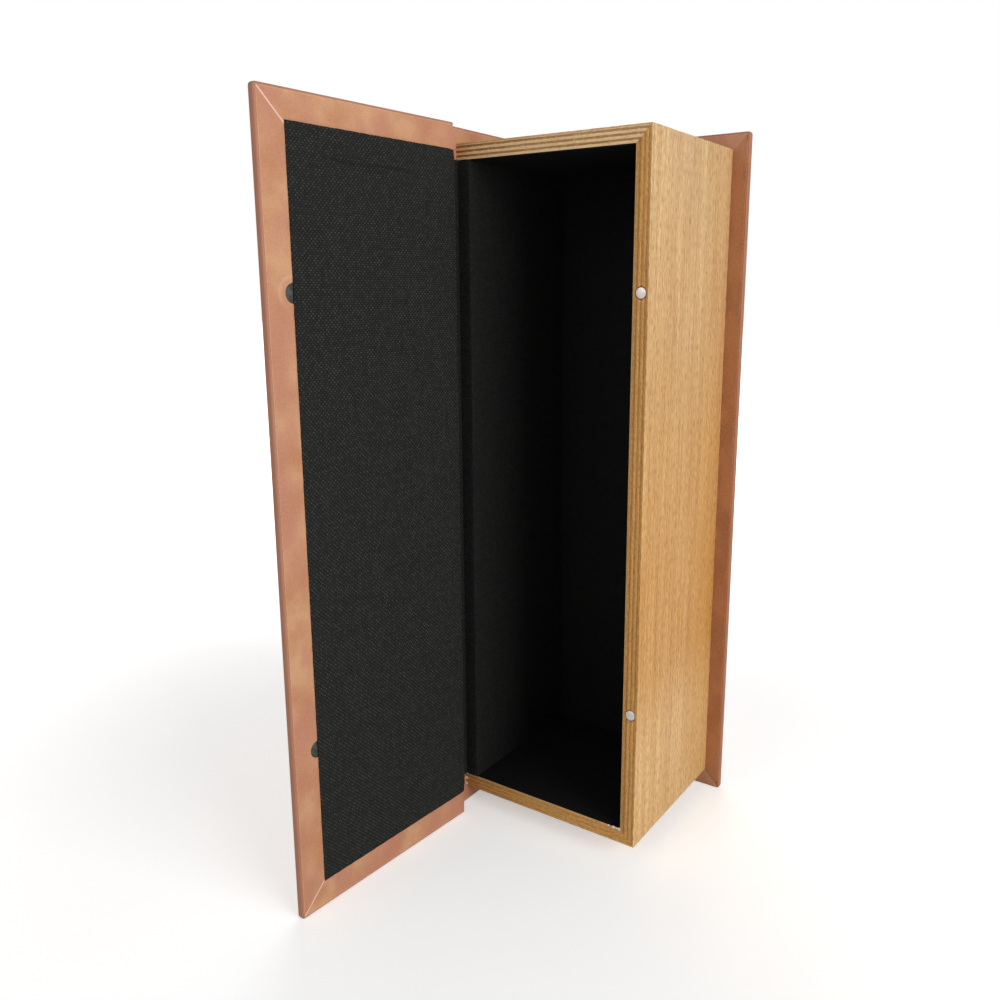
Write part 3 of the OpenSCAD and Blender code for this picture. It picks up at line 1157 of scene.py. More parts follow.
def placed(piece: Piece, slot: Slot, body: Body) -> None:
    """Rides a piece on its body and reports it with the slot for its material.

    Args:
        piece: The piece.
        slot: The slot for its material.
        body: The body that it moves with.
    """
    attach(piece, body.value)
    LOG.info("%s: %s on %s", piece.name, slot.value, body.value)


def softened(node: str, name: str, material: Material, width: float) -> Piece:
    """Copies a CAD node, rounds its sharp edges and puts the copy in its place.

    Args:
        node: The CAD node.
        name: The new piece's name.
        material: The piece's material.
        width: Width of the rounding, in millimetres.

    Returns:
        The new piece.
    """
    mesh = frame["nodes"][node].data.copy()
    mesh.name = name
    work = bmesh.new()
    work.from_mesh(mesh)
    bmesh.ops.remove_doubles(work, verts=work.verts, dist=SAME_PLACE)
    bmesh.ops.dissolve_limit(work, angle_limit=FLAT, verts=work.verts, edges=work.edges)
    work.to_mesh(mesh)
    work.free()
    mesh.materials.clear()
    mesh.materials.append(material)
    piece = linked(name, mesh)
    bevel = piece.modifiers.new("rounding", "BEVEL")
    bevel.width, bevel.segments = width * MM, 3
    bevel.limit_method, bevel.angle_limit = "ANGLE", ROUNDED
    baked(piece)
    piece.data.shade_smooth()
    piece.data.set_sharp_from_angle(angle=SHARP)
    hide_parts(node)
    return piece


# ---- Leather ----


@dataclass(frozen=True)
class Profile:
    """How the leather goes round a board's edge: out over the face, round the edge and in again."""

    turn_in: float
    edge_r: float = 0.9
    arc: int = 5
    spread: tuple[float, ...] = (1.0, 0.8, 0.55, 0.3, 0.17, 0.1)

    @functools.cache
    def rows(self, thick: float, start: float = 0.0) -> list[tuple[float, float, float]]:
        """Lists the profile's points.

        Args:
            thick: Distance between the two faces that it wraps.
            start: Depth of its own outer face below the leather's outer face.

        Returns:
            For each point its inset from the outline, its depth and its length past the face.
        """
        inner = thick - 2 * start
        r = min(self.edge_r - start, inner / 2)
        rows = [(self.turn_in * f, start, -self.turn_in * f) for f in self.spread]
        for k in range(self.arc + 1):
            a = math.pi / 2 * k / self.arc
            rows.append((start + r - r * math.sin(a), start + r - r * math.cos(a), r * (a - 1)))
        run = r * (math.pi / 2 - 1)
        flat = inner - 2 * r
        rows.append((start, start + inner / 2, run + flat / 2))
        run += flat
        for k in range(self.arc + 1):
            a = math.pi / 2 * k / self.arc
            rows.append((start + r - r * math.cos(a), start + inner - r + r * math.sin(a), run + r * a))
        run += r * math.pi / 2
        for f in reversed(self.spread):
            inset = self.turn_in * f
            rows.append((inset, thick - start, run + inset - start - r))
        return rows

    @property
    def folded_from(self) -> int:
        """Number of the first row that lies on the inner face."""
        return len(self.spread) + 2 * self.arc + 3


@dataclass
class WrappedSheet:
    """A sheet of leather along a path, turned in at its head, its tail and its free end, with mitres.

    Attributes:
        layout: The box's sizes.
        path: The outer face's line in plan.
        thickness: The distance between the two outer faces, at a distance along the path.
        edge_r: Radius of the leather over a board's edge.
        corner_r: Radius of the corners, seen from the front.
        fan: Number of quads round a corner.
        squeeze: How far from a corner the stations are drawn together towards it.
        z_step: Distance between the free end's stations.
        last_gap: Least distance from a station to the corner.
        seam: Width of the mitre.
        seam_depth: Depth of the mitre.
        ripple: Depth of the outer face's unevenness.
    """

    layout: Layout
    path: PlanPath
    thickness: Rule
    edge_r: float = 0.9
    corner_r: float = 1.5
    fan: int = 6
    squeeze: float = 26.0
    z_step: float = 4.0
    last_gap: float = 0.4
    seam: float = 0.74
    seam_depth: float = 0.12
    ripple: float = 0.09

    def ring(self, inset: float, flat: float, folded: bool) -> list[RingPoint]:
        """Lists one ring of the sheet, from the head's start round the free end to the tail's start.

        Args:
            inset: Distance in from the outline.
            flat: Distance out from the outline before the sheet was folded.
            folded: Whether the ring lies on the inner face, where the mitre is cut.

        Returns:
            For each point its distance along the path, its level, both again in the flat sheet,
            and how far it is sunk into the mitre, 0 to 1.
        """
        end, (low, high) = self.path.length, self.layout.case_z
        reach, fixed = max(inset, self.corner_r), end - self.squeeze
        share = (end - reach - fixed) / (end - self.corner_r - fixed)
        straight = [s if s <= fixed else fixed + (s - fixed) * share for s in self.columns()]
        still = (high - low) / 2 - self.squeeze
        share = (self.squeeze - reach) / (self.squeeze - self.corner_r)
        levels = [side * (z if z <= still else still + (z - still) * share) for z, side in self.levels()]
        middle = (high + low) / 2
        head = [(s, high - inset, s, high + flat, 0.0) for s in straight]
        fore = [(end - inset, middle + z, end + flat, middle + z, 0.0) for z in levels]
        tail = [(s, low + inset, s, low - flat, 0.0) for s in reversed(straight)]
        upper, lower = (self.corner(inset, flat, folded, side) for side in (1, -1))
        head[-1], fore[0], fore[-1], tail[0] = upper[0], upper[-1], lower[0], lower[-1]
        return head + upper + fore + lower + tail

    def corner(self, inset: float, flat: float, folded: bool, side: int) -> list[RingPoint]:
        """Lists the points of a ring at one corner of the free end.

        Args:
            inset: Distance in from the outline.
            flat: Distance out from the outline before the sheet was folded.
            folded: Whether the ring lies on the inner face, where the mitre is cut.
            side: 1 for the upper corner, -1 for the lower one.

        Returns:
            The points, as for a ring.
        """
        end, (low, high) = self.path.length, self.layout.case_z
        edge = high if side > 0 else low
        centre = (end - self.corner_r, edge - side * self.corner_r)
        points = []
        for k in range(self.fan + 1):
            b = math.pi / 2 * k / self.fan
            radius, spread = max(self.corner_r - inset, 0.0), max(self.corner_r + flat, 0.0)
            past, back = max(inset - self.corner_r, 0.0), max(-flat - self.corner_r, 0.0)
            s = centre[0] - past + radius * math.sin(b)
            z = centre[1] + side * (radius * math.cos(b) - past)
            u = centre[0] - back + spread * math.sin(b)
            v = centre[1] + side * (spread * math.cos(b) - back)
            sunk = 0.0
            if folded:
                t = k / self.fan - 0.5
                push = self.seam * max(-0.5, min(0.5, 1.5 * t)) / math.sqrt(2)
                s, z = s + push, z - side * push
                sunk = 1.0 if 0 < k < self.fan else 0.0
            points.append((s, z, u, v, sunk))
        return points if side > 0 else points[::-1]

    def columns(self) -> list[float]:
        """Returns the distances of the head's and the tail's points along the path."""
        last = self.path.length - self.corner_r
        return [s for s in self.path.stations if s < last - self.last_gap] + [last]

    def levels(self) -> list[tuple[float, int]]:
        """Lists the free end's points from top to bottom.

        Returns:
            For each point its distance from the middle and its side, 1 above and -1 below.
        """
        low, high = self.layout.case_z
        half = (high - low) / 2 - self.corner_r
        count = round(half / self.z_step)
        upper = [(half * i / count, 1) for i in range(count, 0, -1)]
        return upper + [(0.0, 1)] + [(z, -1) for z, _ in reversed(upper)]

    def sink(self, s: float, z: float) -> float:
        """Returns how far the face lies below flat, for the soft unevenness of glued leather."""
        wave = math.sin(s * 0.11 + 1.3) * math.sin(z * 0.043 + 0.4) + math.sin(s * 0.05 - z * 0.09)
        return self.ripple * (0.5 + 0.25 * wave)

    def surface(self, skin: Skin, start: float) -> tuple[list[list[int]], list[list[int]]]:
        """Adds the outer surface, start 0, or the inner one, start the leather's thickness.

        Args:
            skin: The mesh that it goes into.
            start: Depth below the leather's outer face.

        Returns:
            The vertices of its rings, and those of the field inside the first ring.
        """
        profile = Profile(self.layout.turn_in, self.edge_r)
        sample = profile.rows(self.layout.board, start)
        rings = []
        for r, (inset, _, flat) in enumerate(sample):
            folded = r >= profile.folded_from
            row = []
            for s, z, u, v, sunk in self.ring(inset, flat, folded):
                own_inset, depth, _ = profile.rows(round(self.thickness(s), 3), start)[r]
                depth += sunk * self.seam_depth * (-1 if start == 0 else 0)
                even = self.sink(s, z) if start == 0 else 0.0
                if r < len(profile.spread):
                    depth += even
                elif folded:
                    depth -= even
                # Marks the rows round the board's edge, where the leather material paints shade.
                edge_band = 1.0 if len(profile.spread) <= r < profile.folded_from else 0.0
                s, z = self.shifted(s, z, inset, own_inset)
                x, y = self.path.at(s, depth)
                row.append(skin.vertex((x, y, z), (u, v), edge_band, float(folded)))
            rings.append(row)
        first = self.ring(sample[0][0], sample[0][2], False)
        heads = [p[0] for p in first[: len(self.columns())]] + [self.path.length - self.layout.turn_in]
        count = len(self.columns()) + self.fan + 1
        fore = [p[1] for p in first[count : count + len(self.levels())]]
        low, high = self.layout.case_z
        rise = [high - self.layout.turn_in, *fore, low + self.layout.turn_in]
        inside = []
        for z in rise:
            row = []
            for s in heads:
                x, y = self.path.at(s, start + (self.sink(s, z) if start == 0 else 0.0))
                row.append(skin.vertex((x, y, z), (s, z)))
            inside.append(row)
        return rings, inside

    def shifted(self, s: float, z: float, inset: float, own: float) -> tuple[float, float]:
        """Moves a head or tail point to the inset of a thinner fold.

        Args:
            s: The point's distance along the path.
            z: Its level.
            inset: The ring's usual inset.
            own: The inset of the thinner fold.

        Returns:
            The point's new distance along the path and its new level.
        """
        low, high = self.layout.case_z
        if abs(z - (high - inset)) < SAME_PLACE:
            return s, high - own
        if abs(z - (low + inset)) < SAME_PLACE:
            return s, low + own
        return s, z

    def build(self, name: str, materials: Sequence[Material]) -> Piece:
        """Makes both surfaces, the rim of the turned-in edge and the cut at the start.

        Args:
            name: The piece's name.
            materials: The leather, and its cut edge.

        Returns:
            The piece.
        """
        skin = Skin(self.layout)
        outer, outer_field = self.surface(skin, 0.0)
        inner, inner_field = self.surface(skin, self.layout.skin)
        first_folded = Profile(self.layout.turn_in).folded_from
        upper = len(self.columns())
        lower = upper + self.fan + 1 + len(self.levels())
        corners = {first + k for first in (upper, lower) for k in range(self.fan)}
        skin.grid(outer, lambda r, c: r >= first_folded and c in corners)
        skin.grid(inner)
        skin.grid(outer_field)
        skin.grid(inner_field)
        skin.grid([outer[-1], inner[-1]], lambda r, c: True)
        for column in (0, -1):
            skin.grid([[row[column] for row in outer], [row[column] for row in inner]])
        skin.grid([[row[0] for row in outer_field], [row[0] for row in inner_field]])
        return skin.build(name, materials)


@dataclass
class LeatherCase:
    """The sheet of leather round the spine and the back, and the one round the cover.

    Attributes:
        layout: The box's sizes.
        groove: Depth of the pressed groove at the back joint.
        bend_r: Radius of the bend from the spine to the back.
        crease_r: Radius of the crease at the spine.
        inner_crease_r: Radius of the crease at the cover.
        fine: Distance between stations where the thickness or the line changes fast.
        middling: The same on the strip.
        coarse: The same along a board.
        board_margin: How far the fine stations go on past a board's end.
        joint_margin: How far they go on past the groove.
        hinge_margins: How far they start before the cover board's edge and end after it.
        slope_end: How far before a board's edge the leather has its full thickness.
        play: What the back is thinner by than its solids.
        hole_gap: Gap between a disc and the leather round it.
        drill_depth: Length of the drill for the holes.
    """

    layout: Layout
    groove: float = 1.3
    bend_r: float = 1.8
    crease_r: float = 1.3
    inner_crease_r: float = 0.5
    fine: float = 0.13
    middling: float = 0.7
    coarse: float = 3.0
    board_margin: float = 0.2
    joint_margin: float = 0.5
    hinge_margins: Point = (0.1, 0.15)
    slope_end: float = 0.05
    play: float = 0.04
    hole_gap: float = 0.2
    drill_depth: float = 3.6

    def strip_middle(self, depth: float) -> Vector:
        """Finds the middle of the hinge strip.

        Args:
            depth: Depth below its outer face.

        Returns:
            The point in plan.
        """
        h = self.layout.hinge
        middle = (h.spine_crease + h.cover_crease) / 2
        return h.on_strip(middle.x, middle.y - self.layout.leather / 2 + depth)

    def case_path(self) -> PlanPath:
        """Draws the outer face's line from the strip round the spine to the back's free edge.

        Returns:
            The line.
        """
        h, lay = self.layout.hinge, self.layout
        low, high = lay.box("back_cover_leather")
        side = h.spine_crease.x - lay.leather / 2
        start = self.strip_middle(0.0)
        other = h.on_strip(h.spine_crease.x, h.spine_crease.y - lay.leather / 2)
        slope = (other - start).normalized()
        corner = start + slope * ((side - start.x) / slope.x)
        path = PlanPath(inward=1, points=[start])
        path.rounded(corner, Vector((side, high.y)), self.crease_r, 8, self.middling)
        board = lay.box("spine_board")
        path.line_to(Vector((side, board[0].y + self.board_margin)), self.fine)
        path.line_to(Vector((side, board[1].y - self.board_margin)), self.coarse)
        path.rounded(Vector((side, high.y)), Vector((high.x, high.y)), self.bend_r, 12, self.fine)
        begin, end = path.points[-1].x, lay.box("back_board")[0].x
        count = round((end - begin) / self.fine)
        for i in range(1, count + 1):
            t = i / count
            drop = self.groove * (1 - math.cos(2 * math.pi * t)) / 2
            path.points.append(Vector((begin + (end - begin) * t, high.y - drop)))
        path.line_to(Vector((end + self.joint_margin, high.y)), self.fine)
        return path.line_to(Vector((high.x, high.y)), self.coarse).close()

    def cover_path(self) -> PlanPath:
        """Draws the outer face's line from the strip to the cover's free edge.

        Returns:
            The line.
        """
        h, lay = self.layout.hinge, self.layout
        out_y = h.cover_crease.y - lay.leather / 2
        start = self.strip_middle(0.0)
        other = h.on_strip(h.cover_crease.x, out_y)
        a, b = h.on_cover(h.cover_crease.x, out_y), h.on_cover(self.cover_end(), out_y)
        slope, along = (other - start).normalized(), (b - a).normalized()
        gap = a - start
        reach = (gap.x * along.y - gap.y * along.x) / (slope.x * along.y - slope.y * along.x)
        path = PlanPath(inward=-1, points=[start])
        path.rounded(start + slope * reach, b, self.inner_crease_r, 6, self.middling)
        edge = lay.box("back_board")[0].x
        before, after = self.hinge_margins
        path.line_to(h.on_cover(edge - lay.leather - before, out_y), self.middling)
        path.line_to(h.on_cover(edge + after, out_y), self.fine)
        return path.line_to(b, self.coarse).close()

    def cover_end(self) -> float:
        """Finds the cover's free edge.

        Returns:
            How far the shut cover reaches in x.
        """
        lay = self.layout
        inner_y = lay.hinge.cover_crease.y - lay.leather / 2 + lay.board
        return lay.hinge.reach(inner_y, lay.box("front_cover_leather")[0].y)

    def case_thickness(self, path: PlanPath) -> Rule:
        """Makes the rule for the thickness along the spine and the back.

        Args:
            path: The outer face's line.

        Returns:
            The rule, which takes a distance along the line.
        """
        lay = self.layout
        spine, back = lay.box("spine_board"), lay.box("back_board")

        def rule(s: float) -> float:
            """Finds the distance between the faces.

            Args:
                s: Distance along the line.

            Returns:
                The distance between the faces there.
            """
            x, y = path.at(s, 0.0)
            if x < back[0].x - lay.leather:
                share = blended_step(y, spine[0].y - lay.leather, spine[0].y - self.slope_end)
                share *= 1 - blended_step(y, spine[1].y + self.slope_end, spine[1].y + lay.leather)
            else:
                share = blended_step(x, back[0].x - lay.leather, back[0].x - self.slope_end)
            return lay.fold + (lay.board - self.play - lay.fold) * share

        return functools.cache(rule)

    def cover_thickness(self, path: PlanPath) -> Rule:
        """Makes the rule for the thickness along the cover.

        Args:
            path: The outer face's line.

        Returns:
            The rule, which takes a distance along the line.
        """
        lay = self.layout
        start = path.length - (self.cover_end() - lay.box("back_board")[0].x)

        def rule(s: float) -> float:
            """Returns the distance between the faces at distance s."""
            share = blended_step(s, start - lay.leather, start - self.slope_end)
            return lay.fold + (lay.board - lay.fold) * share

        return functools.cache(rule)

    def build(self) -> None:
        """Makes both sheets and bakes each in place; neither is bent across its crease."""
        path = self.case_path()
        # The case's leather paints shade on the turn-in along the back board's free edge.
        leather = Leather("tan_leather_case", shade_from=path.length).material()
        # A darker copy of the cut leather edge for the case: painted shade.
        shaded_cut = CutEdge("shaded_cut_leather_edge", (212, 160, 132), (164, 108, 82)).material()
        sheet = WrappedSheet(self.layout, path, self.case_thickness(path))
        case = sheet.build("case_leather", (leather, shaded_cut))
        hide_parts("spine_leather", "back_joint_leather", "back_cover_leather", "hinge_leather")
        spine_bend(case, self.layout, Slot.LEATHER)
        path = self.cover_path()
        leather = Leather("tan_leather_cover", pressed_at=self.disc_on_flat(path)).material()
        sheet = WrappedSheet(self.layout, path, self.cover_thickness(path))
        cover = sheet.build("cover_leather", (leather, CutEdge().material()))
        self.drill(cover)
        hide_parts("front_cover_leather")
        cover_bend(cover, self.layout, Slot.LEATHER)

    def disc_on_flat(self, path: PlanPath) -> Point:
        """Finds the upper disc on the flat sheet of the cover.

        Args:
            path: The cover's line.

        Returns:
            The disc's middle.
        """
        low, high = self.layout.box("upper_disc")
        middle = (low + high) / 2
        outline = self.layout.box("front_cover_leather")[0].y
        inset, _, flat = Profile(self.layout.turn_in).rows(self.layout.board)[-1]
        return path.length + (middle.y - outline) + flat - inset, middle.z

    def drill(self, cover: Piece) -> None:
        """Cuts the round holes over the two discs out of the turned-in leather.

        Args:
            cover: The cover's leather.
        """
        h = self.layout.hinge
        normal = (h.on_cover(0, 1) - h.on_cover(0, 0)).to_3d()
        turn = normal.to_track_quat("Z", "Y").to_matrix().to_4x4()
        for node in ("upper_disc", "lower_disc"):
            low, high = (Vector(c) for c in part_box(node))
            radius, depth = (high.z - low.z) / 2 + self.hole_gap * MM, self.drill_depth * MM
            work = bmesh.new()
            size = {"radius1": radius, "radius2": radius, "depth": depth}
            bmesh.ops.create_cone(work, cap_ends=True, segments=64, **size)
            mesh = bpy.data.meshes.new("drill")
            work.to_mesh(mesh)
            work.free()
            tool = linked("drill", mesh)
            tool.matrix_world = Matrix.Translation((low + high) / 2) @ turn
            cut = cover.modifiers.new("hole", "BOOLEAN")
            cut.operation, cut.solver, cut.object = "DIFFERENCE", "EXACT", tool
            baked(cover)
            bpy.data.objects.remove(tool)


SPINE_BEND = (1.25, -0.15)
COVER_BEND = (-0.9, 0.9)


def spine_bend(piece: Piece, lay: Layout, slot: Slot) -> None:
    """Works out where a bend across the crease at the spine would start and end, but leaves the piece unbent: it
    bakes the piece's place into its mesh and reports it.

    Args:
        piece: The piece, which lies on the spine and on the strip.
        lay: The box's sizes.
        slot: The slot for its material.
    """
    crease = lay.hinge.spine_crease
    start, end = (lay.world(crease.x, crease.y + d, 0) for d in SPINE_BEND)
    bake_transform(piece)
    LOG.info("%s: %s, bent from the box to the strip", piece.name, slot.value)


def cover_bend(piece: Piece, lay: Layout, slot: Slot) -> None:
    """Works out where a bend across the crease at the cover would start and end, but leaves the piece unbent: it
    bakes the piece's place into its mesh and reports it.

    Args:
        piece: The piece, which lies on the strip and on the cover.
        lay: The box's sizes.
        slot: The slot for its material.
    """
    h = lay.hinge
    crease = h.on_cover(*h.cover_crease)
    strip = (crease - h.spine_crease).normalized()
    cover = (h.on_cover(h.cover_crease.x + 1, h.cover_crease.y) - crease).normalized()
    across = (strip + cover).normalized()
    start, end = (lay.world(*(crease + across * d), 0) for d in COVER_BEND)
    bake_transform(piece)
    LOG.info("%s: %s, bent from the strip to the cover", piece.name, slot.value)


# ---- Cloth ----


@dataclass
class ClothSheet:
    """A glued sheet of cloth along a path, between two levels that may change on the way.

    Attributes:
        layout: The box's sizes.
        path: The face's line in plan.
        low: The lower edge's level, at a distance along the path.
        high: The upper edge's level.
        z_step: Distance between the rows of vertices.
        sunk: How far the back lies inside the solids' cloth.
        ragged: Unevenness of the cut edges.
        waves: The unevenness's waves, in radians per millimetre.
        end_zone: Length at the far end over which that edge's unevenness fades in.
        pleat_depth: Depth of the soft folds along the crease.
        pleat_pitch: Distance between them.
        pleated: How far they reach.
        pleat_fade: Length over which they fade.
    """

    layout: Layout
    path: PlanPath
    low: Rule
    high: Rule
    z_step: float = 3.0
    sunk: float = 0.06
    ragged: float = 0.12
    waves: tuple[float, ...] = (0.9, 2.3, 5.1, 11.7)
    end_zone: float = 4.0
    pleat_depth: float = 0.16
    pleat_pitch: float = 2.1
    pleated: float = 6.5
    pleat_fade: float = 2.0

    def pleat(self, s: float) -> float:
        """Returns how far the cloth sinks into the soft folds along the crease."""
        fade = 1 - blended_step(s, self.pleated - self.pleat_fade, self.pleated)
        return self.pleat_depth * fade * (0.5 - 0.5 * math.cos(2 * math.pi * s / self.pleat_pitch))

    def jitter(self, along: float, seed: float) -> float:
        """Returns the small unevenness of a hand-cut edge at a distance along it."""
        swings = (math.sin(along * wave + seed * i) / i for i, wave in enumerate(self.waves, 1))
        return self.ragged * sum(swings) / 2

    def build(self, name: str, material: Material) -> Piece:
        """Makes the cloth's face, its back and its cut edges.

        Args:
            name: The piece's name.
            material: Its material.

        Returns:
            The piece.
        """
        skin = Skin(self.layout)
        count = round((self.high(0) - self.low(0)) / self.z_step)
        layers = []
        end = self.path.length
        for depth in (0.0, -self.layout.cloth + self.sunk):
            rows = []
            for i in range(count + 1):
                row = []
                for s in self.path.stations:
                    low, high = self.low(s) + self.jitter(s, 1.0), self.high(s) + self.jitter(s, 2.0)
                    z = low + (high - low) * i / count
                    slip = blended_step(s, end - self.end_zone, end) * self.jitter(z, 3.0)
                    place = self.path.at(s, depth - self.pleat(s)) + self.path.ahead(s) * slip
                    row.append(skin.vertex((place.x, place.y, z), (s, z)))
                rows.append(row)
            skin.grid(rows)
            layers.append(rows)
        face, back = layers
        for pair in ((face[0], back[0]), (face[-1], back[-1])):
            skin.grid(list(pair))
        for column in (0, -1):
            skin.grid([[r[column] for r in face], [r[column] for r in back]])
        return skin.build(name, (material,), sharp=60.0)


@dataclass
class FrayedEdge:
    """Loose threads along the cut edge of a cloth, made by a node tree."""

    material: Material
    spacing: float = 0.62
    length: float = 0.55
    radius: float = 0.06
    tip: float = 0.01
    lean: float = 0.7
    shortest: float = 0.15
    seed: int = 4

    def tree(self) -> bpy.types.NodeTree:
        """Builds the tree: resample the edge, set a tapered thread on each point, realize.

        Returns:
            The tree.
        """
        kinds = dict.fromkeys(("Spacing", "Length", "Radius"), "Float")
        kinds |= {"Seed": "Int", "Thread": "Material"}
        g, given, result = geometry_tree("frayed_edge", kinds)
        value = given.outputs
        line = g.add("GeometryNodeMeshToCurve", {0: value["Geometry"]}).outputs[0]
        step = {"Curve": line, "Length": value["Spacing"]}
        points = g.add("GeometryNodeResampleCurve", step, mode="LENGTH")
        size = {"Vertices": 4, "Radius Top": self.tip * MM, "Radius Bottom": value["Radius"]}
        cone = g.add("GeometryNodeMeshCone", {**size, "Depth": value["Length"]})
        outward = g.add("GeometryNodeInputNamedAttribute", {"Name": "outward"}, data_type="FLOAT_VECTOR")
        turn = g.add("FunctionNodeAlignRotationToVector", {"Vector": outward.outputs[0]}, axis="Z")
        span = {0: [-self.lean] * 3, 1: [self.lean] * 3, "Seed": value["Seed"]}
        lean = g.add("FunctionNodeRandomValue", span, data_type="FLOAT_VECTOR").outputs[0]
        way = {0: turn.outputs[0], 1: lean}
        bent = g.add("FunctionNodeRotateRotation", way, rotation_space="LOCAL").outputs[0]
        span = {2: self.shortest, 3: 1.0, "Seed": value["Seed"]}
        size = g.add("FunctionNodeRandomValue", span, data_type="FLOAT").outputs[1]
        shape = {"Instance": cone.outputs[0], "Rotation": bent, "Scale": size}
        threads = g.add("GeometryNodeInstanceOnPoints", {"Points": points.outputs[0], **shape})
        real = g.add("GeometryNodeRealizeInstances", {0: threads.outputs[0]})
        dressed = g.add("GeometryNodeSetMaterial", {0: real.outputs[0], 2: value["Thread"]})
        g.feed(result.inputs[0], dressed.outputs[0])
        return g.tree

    def build(self, name: str, lines: list[tuple[list[Vector], Vector]]) -> Piece:
        """Makes the threads of one body.

        Args:
            name: The piece's name.
            lines: For each cut edge its points in the frame and the way that its threads point.

        Returns:
            A plain mesh of threads.
        """
        places, edges, ways = [], [], []
        for points, way in lines:
            first = len(places)
            places += [tuple(p) for p in points]
            edges += [(first + i, first + i + 1) for i in range(len(points) - 1)]
            ways += [tuple(way)] * len(points)
        mesh = bpy.data.meshes.new(name)
        mesh.from_pydata(places, edges, [])
        spread = mesh.attributes.new("outward", "FLOAT_VECTOR", "POINT")
        spread.data.foreach_set("vector", np.array(ways, np.float32).ravel())
        values = {
            "Spacing": self.spacing * MM, "Length": self.length * MM, "Radius": self.radius * MM,
            "Seed": self.seed, "Thread": self.material,
        }
        return grown(linked(name, mesh), self.tree(), values)


@dataclass
class Linings:
    """The black cloth inside the cover, across the hinge and in the tray.

    Attributes:
        layout: The box's sizes.
        threads: The material of the loose threads.
        radius: Radius of the cloth over the cover board's edge.
        board_play: How far the cloth stands off that edge, less than its solid does.
        valley: How far the inner fold of the cover's cloth lies before the crease.
        rise: Height over the strip at which it has reached the board's edge.
        near_crease: How far the spine's cloth lies on the strip, past its crease.
        lip: How far past the crease it turns over the spine's front edge.
        tray_edge: Width of the rounding of the tray's flat cloths.
        wrinkle_ends: The ends of the wrinkle, from the free edge and the head of the cloth.
        thread_depth: How far below the cloth's face the loose threads start.
        step_before: How far before the board's edge the cloth starts to grow wider.
        step_after: How far past it the cloth is at its full width.
    """

    layout: Layout
    threads: Material
    radius: float = 0.5
    board_play: float = 0.05
    valley: float = 0.15
    rise: float = 0.75
    near_crease: float = 1.0
    lip: float = 0.45
    tray_edge: float = 0.15
    wrinkle_ends: tuple[Point, Point] = ((74.0, 14.2), (13.0, 10.3))
    thread_depth: float = 0.25
    step_before: float = 0.3
    step_after: float = 0.1

    def cover_path(self) -> PlanPath:
        """Draws the cloth's line from the strip over the hinge edge to the cover's free side.

        Returns:
            The line.
        """
        lay, h = self.layout, self.layout.hinge
        strip_y = h.spine_crease.y - lay.leather / 2 + lay.fold
        edge_x = lay.box("back_board")[0].x - lay.cloth + self.board_play
        face = h.cover_crease.y - lay.leather / 2 + lay.board + lay.cloth
        end = h.reach(face, lay.box("cover_lining")[0].y)
        middle = (h.spine_crease.x + h.cover_crease.x) / 2
        path = PlanPath(inward=-1, points=[h.on_strip(middle, strip_y)])
        valley = h.on_strip(h.cover_crease.x - self.valley, strip_y)
        rise, brow = h.on_cover(edge_x, strip_y + self.rise), h.on_cover(edge_x, face)
        path.rounded(valley, rise, radius=0.8, count=4, step=0.7)
        path.rounded(rise, brow, radius=0.4, count=3, step=0.5)
        path.rounded(brow, h.on_cover(end, face), radius=self.radius, count=6, step=0.5)
        path.line_to(h.on_cover(edge_x + self.radius + self.step_before, face), step=0.1)
        return path.line_to(h.on_cover(end, face), step=2.5).close()

    def spine_path(self) -> PlanPath:
        """Draws the cloth's line from the strip over the spine's edge and along the tray's wall.

        Returns:
            The line.
        """
        lay, h = self.layout, self.layout.hinge
        low, high = lay.box("spine_side_lining")
        strip_y = h.spine_crease.y - lay.leather / 2 + lay.fold
        middle = (h.spine_crease.x + h.cover_crease.x) / 2
        wall = lay.box("spine_wall")[1].x + lay.cloth
        path = PlanPath(inward=1, points=[h.on_strip(middle, strip_y)])
        near = h.on_strip(h.spine_crease.x + self.near_crease, strip_y)
        lip, front = Vector((h.spine_crease.x + self.lip, low.y)), Vector((lay.cloth, low.y))
        corner, mouth, back = Vector((lay.cloth, 0.0)), Vector((wall, 0.0)), Vector((wall, high.y))
        path.rounded(near, lip, radius=0.5, count=3, step=0.7)
        path.rounded(lip, front, radius=0.35, count=3, step=0.5)
        path.rounded(front, corner, radius=0.35, count=4, step=0.7)
        path.rounded(corner, mouth, radius=0.4, count=4, step=0.7)
        path.rounded(mouth, back, radius=0.45, count=5, step=1.0)
        return path.line_to(back, step=3.0).close()

    def build(self) -> None:
        """Makes the two bent sheets, dresses the tray's flat ones and frays the cut edges."""
        turn = self.line_cover()
        self.line_spine()
        self.line_tray()
        self.fray(turn)

    def line_cover(self) -> float:
        """Makes the sheet on the cover.

        Returns:
            How far along its path the sheet has turned onto the cover.
        """
        lay, path = self.layout, self.cover_path()
        gutter, cover = lay.box("hinge_lining"), lay.box("cover_lining")
        turn = path.length - (cover[1].y - cover[0].y) + self.step_after

        def level(narrow: float, wide: float) -> Rule:
            """Returns the rule for a cut edge that steps out where the cloth reaches the cover."""
            low, high = turn - self.step_before, turn + self.step_after
            return lambda s: narrow + (wide - narrow) * blended_step(s, low, high)

        wrinkle = tuple((path.length - back, cover[1].z - down) for back, down in self.wrinkle_ends)
        material = Cloth("black_cloth_cover", wrinkle=wrinkle).material()
        sheet = ClothSheet(lay, path, level(gutter[0].z, cover[0].z), level(gutter[1].z, cover[1].z))
        front = sheet.build("cover_cloth", material)
        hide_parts("cover_lining")
        cover_bend(front, lay, Slot.CLOTH)
        return turn

    def line_spine(self) -> None:
        """Makes the sheet that goes round the spine's front edge into the tray."""
        lay, path = self.layout, self.spine_path()
        low, high = (corner.z for corner in lay.box("hinge_lining"))
